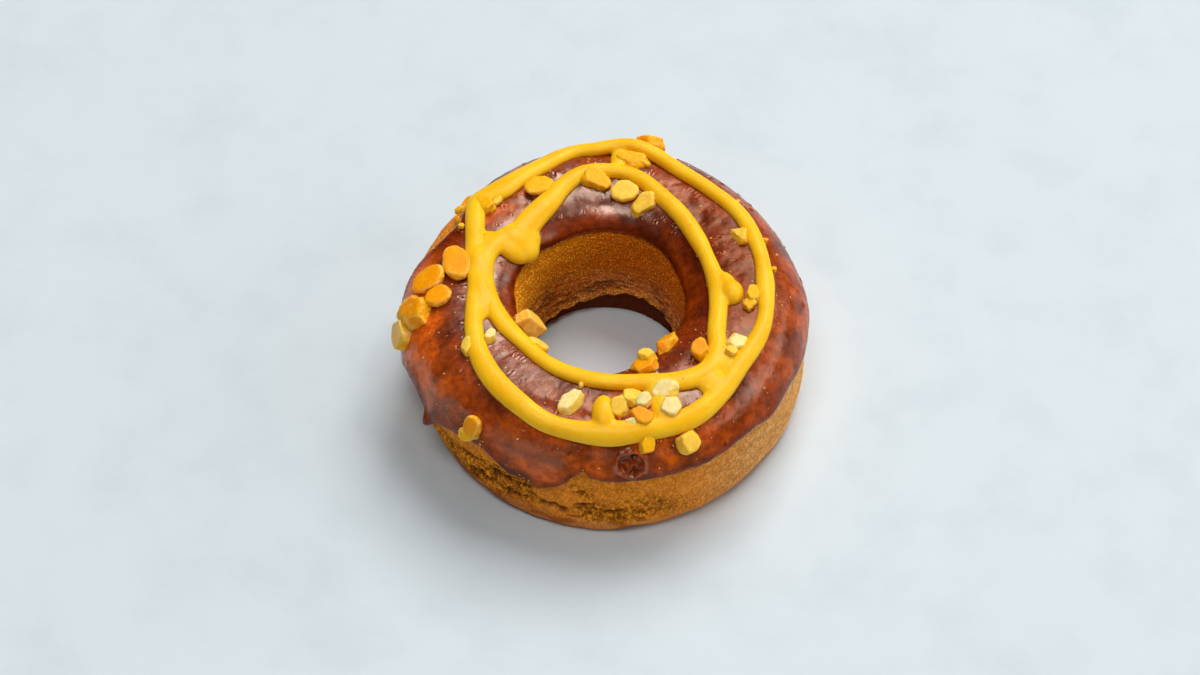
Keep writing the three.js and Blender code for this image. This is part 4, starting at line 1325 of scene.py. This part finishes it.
# Chopped peanuts: angle, across, length, width, height, plan direction of the long side, how far it
# stands above the icing beyond its own share, kind and form
peanutSet = {
    "rings": 34,
    "spokes": 56,
    "pole": 0.03,
    "seed": 100,
    "sunk": 0.2,
    "pieces": [
        (172, 0.6, 8.2, 5.4, 2.6, -78, 0, "toasted", "slab"),
        (179, 5.0, 7.4, 5.3, 2.6, 38, 0, "toasted", "slab"),
        (188.5, 8.6, 8.2, 6.4, 3.4, -32, 0, "toasted", "rough"),
        (79, 3.1, 7.1, 4.3, 2.8, -8, 0, "gold", "rough"),
        (312.5, -9.5, 7.4, 3.4, 2.8, 62, 0, "toasted", "chunk"),
        (352.8, 0.8, 4.8, 2.8, 3, 82, 0, "gold", "rough"),
        (205.0, -12.4, 5.8, 4.4, 4.8, -30, 0, "peach", "chunk"),
        (92.5, -2.2, 6, 4.8, 2.8, -35, 0, "gold", "wedge"),
        (68, -6.1, 6.4, 4.0, 2.6, 53, 0, "pale", "chunk"),
        (258.2, 1.7, 5.8, 3.8, 2.4, 57, 0, "white", "chunk"),
        (118, -0.9, 5.8, 4.5, 2.3, 20, 0, "gold", "slab"),
        (293, 0.9, 5.3, 4.4, 3.4, 10, 0, "white", "chunk"),
        (79.5, -4.7, 5.6, 4.8, 2.3, 10, 0, "pale", "slab"),
        (187, 3.4, 5.4, 4.4, 2.5, 35, 0, "toasted", "slab"),
        (140, 2.5, 5.6, 4, 2.6, -55, 0, "gold", "rough"),
        (192, 12.0, 6.0, 4.8, 3.2, 80, 0, "green", "chunk"),
        (328.5, 1.3, 4.4, 3.8, 3.0, 30, 0.2, "white", "chunk"),
        (75.5, 8.6, 6, 3.8, 4.2, -20, 0.4, "toasted", "chunk"),
        (294, 9.7, 4.8, 4.5, 3, 30, 0, "pale", "chunk"),
        (291, -6.9, 5.4, 3.6, 2.8, 5, 0, "toasted", "chunk"),
        (228.5, -9.6, 4.8, 2.8, 2.6, -40, 0, "pale", "slab"),
        (317, -3.1, 4.7, 3.7, 3.3, -80, 0, "toasted", "chunk"),
        (282.5, 4.1, 4.8, 3.9, 3, -20, 0, "toasted", "chunk"),
        (292.5, 3.5, 4.6, 4.2, 3.2, 60, 0, "white", "chunk"),
        (230.6, 12.1, 4.6, 3.6, 2.2, 70, 0, "toasted", "slab"),
        (23.5, 1.0, 4.6, 3.7, 2.5, -50, 0, "pale", "wedge"),
        (275.5, 2.2, 4.3, 3.9, 3, 40, 0, "pale", "chunk"),
        (280.5, 0.6, 4.4, 3.7, 3, 0, 0, "pale", "chunk"),
        (229.4, 14.4, 4.8, 3.2, 2.2, -30, 0, "gold", "rough"),
        (282.5, 8.5, 4.2, 2.9, 2.5, 75, 0, "gold", "chunk"),
        (294, -8.0, 3.8, 3.2, 3, 20, 0.8, "pale", "chunk"),
        (141.5, 5.3, 3.8, 2.4, 1.8, 50, 0, "toasted", "rough"),
        (146.5, 5.6, 2.2, 1.4, 1.2, 20, 0.5, "gold", "rough"),
        (136.0, 0.9, 2.4, 1.5, 1.1, 40, 0.5, "pale", "rough"),
        (151.0, 4.4, 1.7, 1.2, 1.1, -40, 0.6, "toasted", "rough"),
        (19.0, 4.9, 1.4, 1.1, 1.2, 10, 0.2, "toasted", "rough"),
        (38.0, 5.2, 1.2, 0.9, 1.2, 60, 0.3, "gold", "rough"),
        (6.0, 4.6, 1.3, 1.0, 1.1, -20, 0.3, "gold", "rough"),
        (154.0, 2.6, 1.3, 1.0, 0.9, 30, 0.9, "gold", "rough"),
        (260.5, -3.4, 1.4, 1.0, 0.9, 70, 0.2, "peach", "rough"),
        (284.5, 1.7, 3.2, 2.9, 2.8, 0, 0, "white", "chunk"),
        (278.5, 5.2, 3.4, 2.4, 2.2, 10, 0, "white", "chunk"),
        (211.5, 2.0, 4.4, 2.3, 2.4, 85, 0, "pale", "rough"),
        (212.5, -2.8, 3.6, 2.6, 2.4, 70, 0, "white", "rough"),
        (348.4, 0.4, 3.2, 2.6, 2.2, 60, 0, "gold", "rough"),
        (322.8, 1.7, 2.4, 2.0, 2, 0, 1.2, "pale", "slab"),
    ],
    # one over the radius of the ball that bounds a piece; how far out its top, its base and its cut
    # corners lie; which way the corners face; and how much a side turns out of its even place
    "ball": 0.86,
    "topReach": 0.64,
    "baseReach": 0.62,
    "cornerReach": (0.86, 1.0),
    "cornerSpread": (1, 1, 0.3),
    "cornerLean": (0, 0, 0.9),
    "sideShift": 0.25,
    # noises of the surface and of its colour, and steps in mm that give each piece its own; then the shares
    # of roughness, skin, tones and paler rims on the top and on the sides; the rims are partly the paler
    # broken edge and partly a painted highlight
    "roughNoise": (1.1, 5, 3),
    "mottleNoise": (1.7, 9, 2),
    "roughStep": 31.7,
    "mottleStep": 17.3,
    "roughOn": {"top": 0.6, "sides": 1.3},
    "roughTone": 0.08,
    "skinOn": {"top": 0.55, "sides": -0.3},
    "skinRange": (-0.5, 0.1),
    "faceTone": (0.84, 1.04),
    "rimRange": (-0.3, 0.3),
    "rimShift": 0.2,
    # sides, their least and greatest reach, lean, tilt of the top, corners cut off, sharpness of the edges,
    # unevenness and how wide and strong the paler rims are, which are partly paler broken edge and partly
    # painted highlight
    "forms": {
        "slab": {"sides": (9, 13), "reach": (0.90, 1.0), "lean": (-0.5, -0.2), "tilt": 0.06, "cuts": 1,
                 "edge": 9.0, "uneven": 0.07, "rim": (0.10, 0.6)},
        "chunk": {"sides": (5, 7), "reach": (0.78, 1.0), "lean": (-0.2, 0.45), "tilt": 0.16, "cuts": 2,
                  "edge": 24.0, "uneven": 0.09, "rim": (0.08, 0.35)},
        "wedge": {"sides": (3, 5), "reach": (0.62, 1.0), "lean": (-0.1, 0.5), "tilt": 0.2, "cuts": 1,
                  "edge": 24.0, "uneven": 0.1, "rim": (0.08, 0.35)},
        "rough": {"sides": (6, 9), "reach": (0.80, 1.0), "lean": (-0.1, 0.5), "tilt": 0.16, "cuts": 3,
                  "edge": 11.0, "uneven": 0.15, "rim": (0.16, 0.4)},
    },
    "colours": {
        "toasted": (1.0, 0.34, 0.0),
        "gold": (1.0, 0.46, 0.002),
        "peach": (1.0, 0.48, 0.06),
        "pale": (1.0, 0.575, 0.06),
        "white": (1.0, 0.735, 0.3),
        "green": (1.0, 0.57, 0.15),
    },
    "broken": {"toasted": (1.0, 0.46, 0.01), "gold": (1.0, 0.50, 0.01), "peach": (1.0, 0.56, 0.09),
               "pale": (1.0, 0.53, 0.025), "white": (1.0, 0.64, 0.09), "green": (0.95, 0.54, 0.03)},
    "paleRimAndHighlight": (1.0, 0.74, 0.22),
}


# One peanut piece: directions on a sphere cut by a top and a base, some sides and a few corners,
# joined by a high power so that the faces meet in narrow rounded edges; and its colour by face
def peanutPoints(wish, piece, index):
    angle, across, long, wide, tall, heading, above, kind, form = piece
    cut = wish["forms"][form]
    draw = np.random.default_rng(wish["seed"] + index)
    out = ballDirections(wish["rings"], wish["spokes"], wish["pole"])
    sides = int(draw.integers(*cut["sides"]))
    shift = draw.uniform(-wish["sideShift"], wish["sideShift"], sides)
    turn = 2 * np.pi * (np.arange(sides) + shift) / sides + draw.uniform(0, fullTurn)
    lean = draw.uniform(*cut["lean"], sides)
    corners = draw.normal(size=(cut["cuts"], 3)) * wish["cornerSpread"] + wish["cornerLean"]
    planes = np.concatenate([[(*draw.normal(size=2) * cut["tilt"], 1)], [(0, 0, -1)],
                             np.stack([np.cos(turn), np.sin(turn), lean], 1), corners])
    planes /= np.linalg.norm(planes, axis=1, keepdims=True)
    reach = np.concatenate([[wish["topReach"], wish["baseReach"]], draw.uniform(*cut["reach"], sides),
                            draw.uniform(*wish["cornerReach"], cut["cuts"])])
    push = np.clip(out @ planes.T, 0, None) / reach
    radius = (wish["ball"] ** cut["edge"] + (push ** cut["edge"]).sum(-1)) ** (-1 / cut["edge"])
    grown = out * radius[..., None]
    low, high = grown.min((0, 1)), grown.max((0, 1))
    shaped = ((grown - low) / (high - low) - 0.5) * np.array([long, wide, tall])
    # where two faces meet, which face each place is on, and whether that is the top
    ranked = np.sort(push, -1)
    rimWidth, rimStrength = cut["rim"]
    rim = smoothStep(rimWidth, 0.0, ranked[..., -1] - ranked[..., -2])
    face = push.argmax(-1)
    onTop = face == 0
    roughOn, skinOn = wish["roughOn"], wish["skinOn"]
    rough = layeredNoise(shaped + wish["roughStep"] * index, *wish["roughNoise"])
    change = cut["uneven"] * np.where(onTop, roughOn["top"], roughOn["sides"]) * rough
    shaped = shaped * (1 + change)[..., None]
    faceTone = draw.uniform(*wish["faceTone"], len(planes))
    faceTone[0] = 1.0
    mottle = layeredNoise(shaped + wish["mottleStep"] * index, *wish["mottleNoise"])
    skin = smoothStep(*wish["skinRange"], mottle + np.where(onTop, skinOn["top"], skinOn["sides"]))
    colour = blend(skin, wish["broken"][kind], wish["colours"][kind])
    colour = shaded(colour, faceTone[face] * (1 + wish["roughTone"] * rough))
    # paler rims where two faces meet: partly the paler broken edge, partly a painted highlight
    rim = rimStrength * rim * smoothStep(*wish["rimRange"], mottle + wish["rimShift"])
    colour = blend(rim, colour, wish["paleRimAndHighlight"])
    colour = opaque(colour).reshape(-1, 4)
    origin, axes = icingFrame(angle, across, wish["sunk"] * tall + above, heading)
    return origin + shaped @ axes, np.concatenate([colour, colour[:1], colour[-1:]])


def makePeanuts(wish):
    grids, colours = [], []
    for index, piece in enumerate(wish["pieces"]):
        points, colour = peanutPoints(wish, piece, index)
        grids.append((points, False))
        colours.append(colour)
    return makeTrianglePiece("choppedPeanuts", *joinGrids(grids), {"tint": np.concatenate(colours)})


peanutLook = {
    "patchNoise": (0.0006, 3, 0.6),
    "patchRange": (0.3, 0.7),
    "patchDark": (0.93, 0.9, 0.8),
    "patchLight": (1.05, 1.08, 1.2),
    "fineNoise": (0.0006, 4, 0.65),
    "fineBump": (0.00018, 0.6),
    "roughness": 0.42,
    "specular": 0.14,
    "softness": 0.45,
    "softReach": (1.0, 0.55, 0.2),
    "softScale": 0.0015,
}


# Peanut: the piece's own tint with small paler and darker patches and a fine unevenness
def makePeanutMaterial(look):
    material, tree, shader, place = newMaterial("choppedPeanut")
    patches = tree.ramp(tree.noise(place, *look["patchNoise"]), *look["patchRange"])
    shade = tree.mix(patches, look["patchDark"], look["patchLight"])
    colour = tree.mix(1.0, tree.attribute("tint", "Color"), shade, "MULTIPLY")
    tree.link(colour, shader.inputs["Base Color"])
    softFinish(shader, look)
    fine = tree.noise(place, *look["fineNoise"])
    tree.link(bumpFrom(tree, fine, *look["fineBump"]), shader.inputs["Normal"])
    return material


peanuts = makePeanuts(peanutSet)
peanuts.data.materials.append(makePeanutMaterial(peanutLook))
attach(peanuts, body)
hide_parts("chocolate_icing")
print("peanuts made:", len(peanuts.data.polygons), "faces")

# Crumbs and flecks of peanut and cake, scattered about the pieces and over the icing
crumbSet = {
    "rings": 4,
    "spokes": 6,
    "pole": 0.3,
    "seed": 5,
    "corners": (0.6, 1.15),
    "stretch": (0.6, 1.2),
    "lift": 0.25,
    "nearPeanuts": 5,
    "away": (0.5, 0.85),
    "onIcing": 250,
    "onIcingAcross": (-9, 14),
    "tone": (0.75, 1.1),
    "size": (0.08, 0.24),
    # radius in mm at which a distance becomes an angle, by the pieces and in the drifts
    "pieceRadius": 28,
    "driftRadius": 30,
    "fromEdge": 0.7,
    # places with many crumbs: angle, across, spread in mm, how many, kind
    "drifts": [(287.5, 7.8, 1.4, 16, "brown"), (143, 4.8, 1.5, 14, "gold"), (352, 4.4, 1.6, 14, "pale"),
               (230, 14.6, 1.4, 10, "pale"), (325, 3.4, 1.2, 10, "pale"), (96, 4.4, 1.4, 8, "gold"),
               (247, 19.5, 2.4, 14, "gold"), (213, 17.5, 2.0, 8, "gold")],
    "colours": {"pale": (0.98, 0.72, 0.28), "gold": (0.92, 0.42, 0.04), "brown": (0.55, 0.20, 0.05)},
}


# One crumb: a small ball of few faces with its corners drawn in or out
def crumbPoints(wish, draw, angle, across, size):
    out = ballDirections(wish["rings"], wish["spokes"], wish["pole"])
    corners = draw.uniform(*wish["corners"], out.shape[:2])
    shaped = out * corners[..., None] * size * draw.uniform(*wish["stretch"], 3)
    origin, axes = icingFrame(angle, across, wish["lift"] * size, draw.uniform(0, 360))
    return origin + shaped @ axes


# Angle, across and kind of each crumb: all over the icing, beside the peanut pieces and in drifts
def crumbPlaces(wish, draw, pieces):
    places = [(draw.uniform(0, 360), draw.uniform(*wish["onIcingAcross"]), "pale")
              for _ in range(wish["onIcing"])]
    for angle, across, long, wide, tall, heading, above, kind, form in pieces:
        crumbKind = "pale" if kind in ("pale", "white") else "gold"
        for _ in range(wish["nearPeanuts"]):
            turn, away = draw.uniform(0, fullTurn), draw.uniform(*wish["away"])
            places.append((angle + away * wide * np.cos(turn) * degreesInRadian / wish["pieceRadius"],
                           across + away * wide * np.sin(turn), crumbKind))
    for angle, across, spread, count, kind in wish["drifts"]:
        for _ in range(count):
            places.append((angle + draw.normal() * spread * degreesInRadian / wish["driftRadius"],
                           across + draw.normal() * spread, kind))
    return places


def makeCrumbs(wish, pieces):
    draw = np.random.default_rng(wish["seed"])
    grids, colours = [], []
    for angle, across, kind in crumbPlaces(wish, draw, pieces):
        if across > courseAt(icingSet["outerEdge"], angle) - wish["fromEdge"]:
            continue
        size = draw.uniform(*wish["size"])
        grids.append((crumbPoints(wish, draw, angle, across, size), False))
        tone = np.clip(np.asarray(wish["colours"][kind]) * draw.uniform(*wish["tone"]), 0, 1)
        colours.append(np.tile([*tone, 1.0], (wish["rings"] * wish["spokes"] + 2, 1)))
    return makeTrianglePiece("crumbs", *joinGrids(grids), {"tint": np.concatenate(colours)})


crumbs = makeCrumbs(crumbSet, peanutSet["pieces"])
crumbs.data.materials.append(makePeanutMaterial(peanutLook))
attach(crumbs, body)
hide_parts("chocolate_icing")
print("crumbs made:", len(crumbs.data.polygons), "faces")
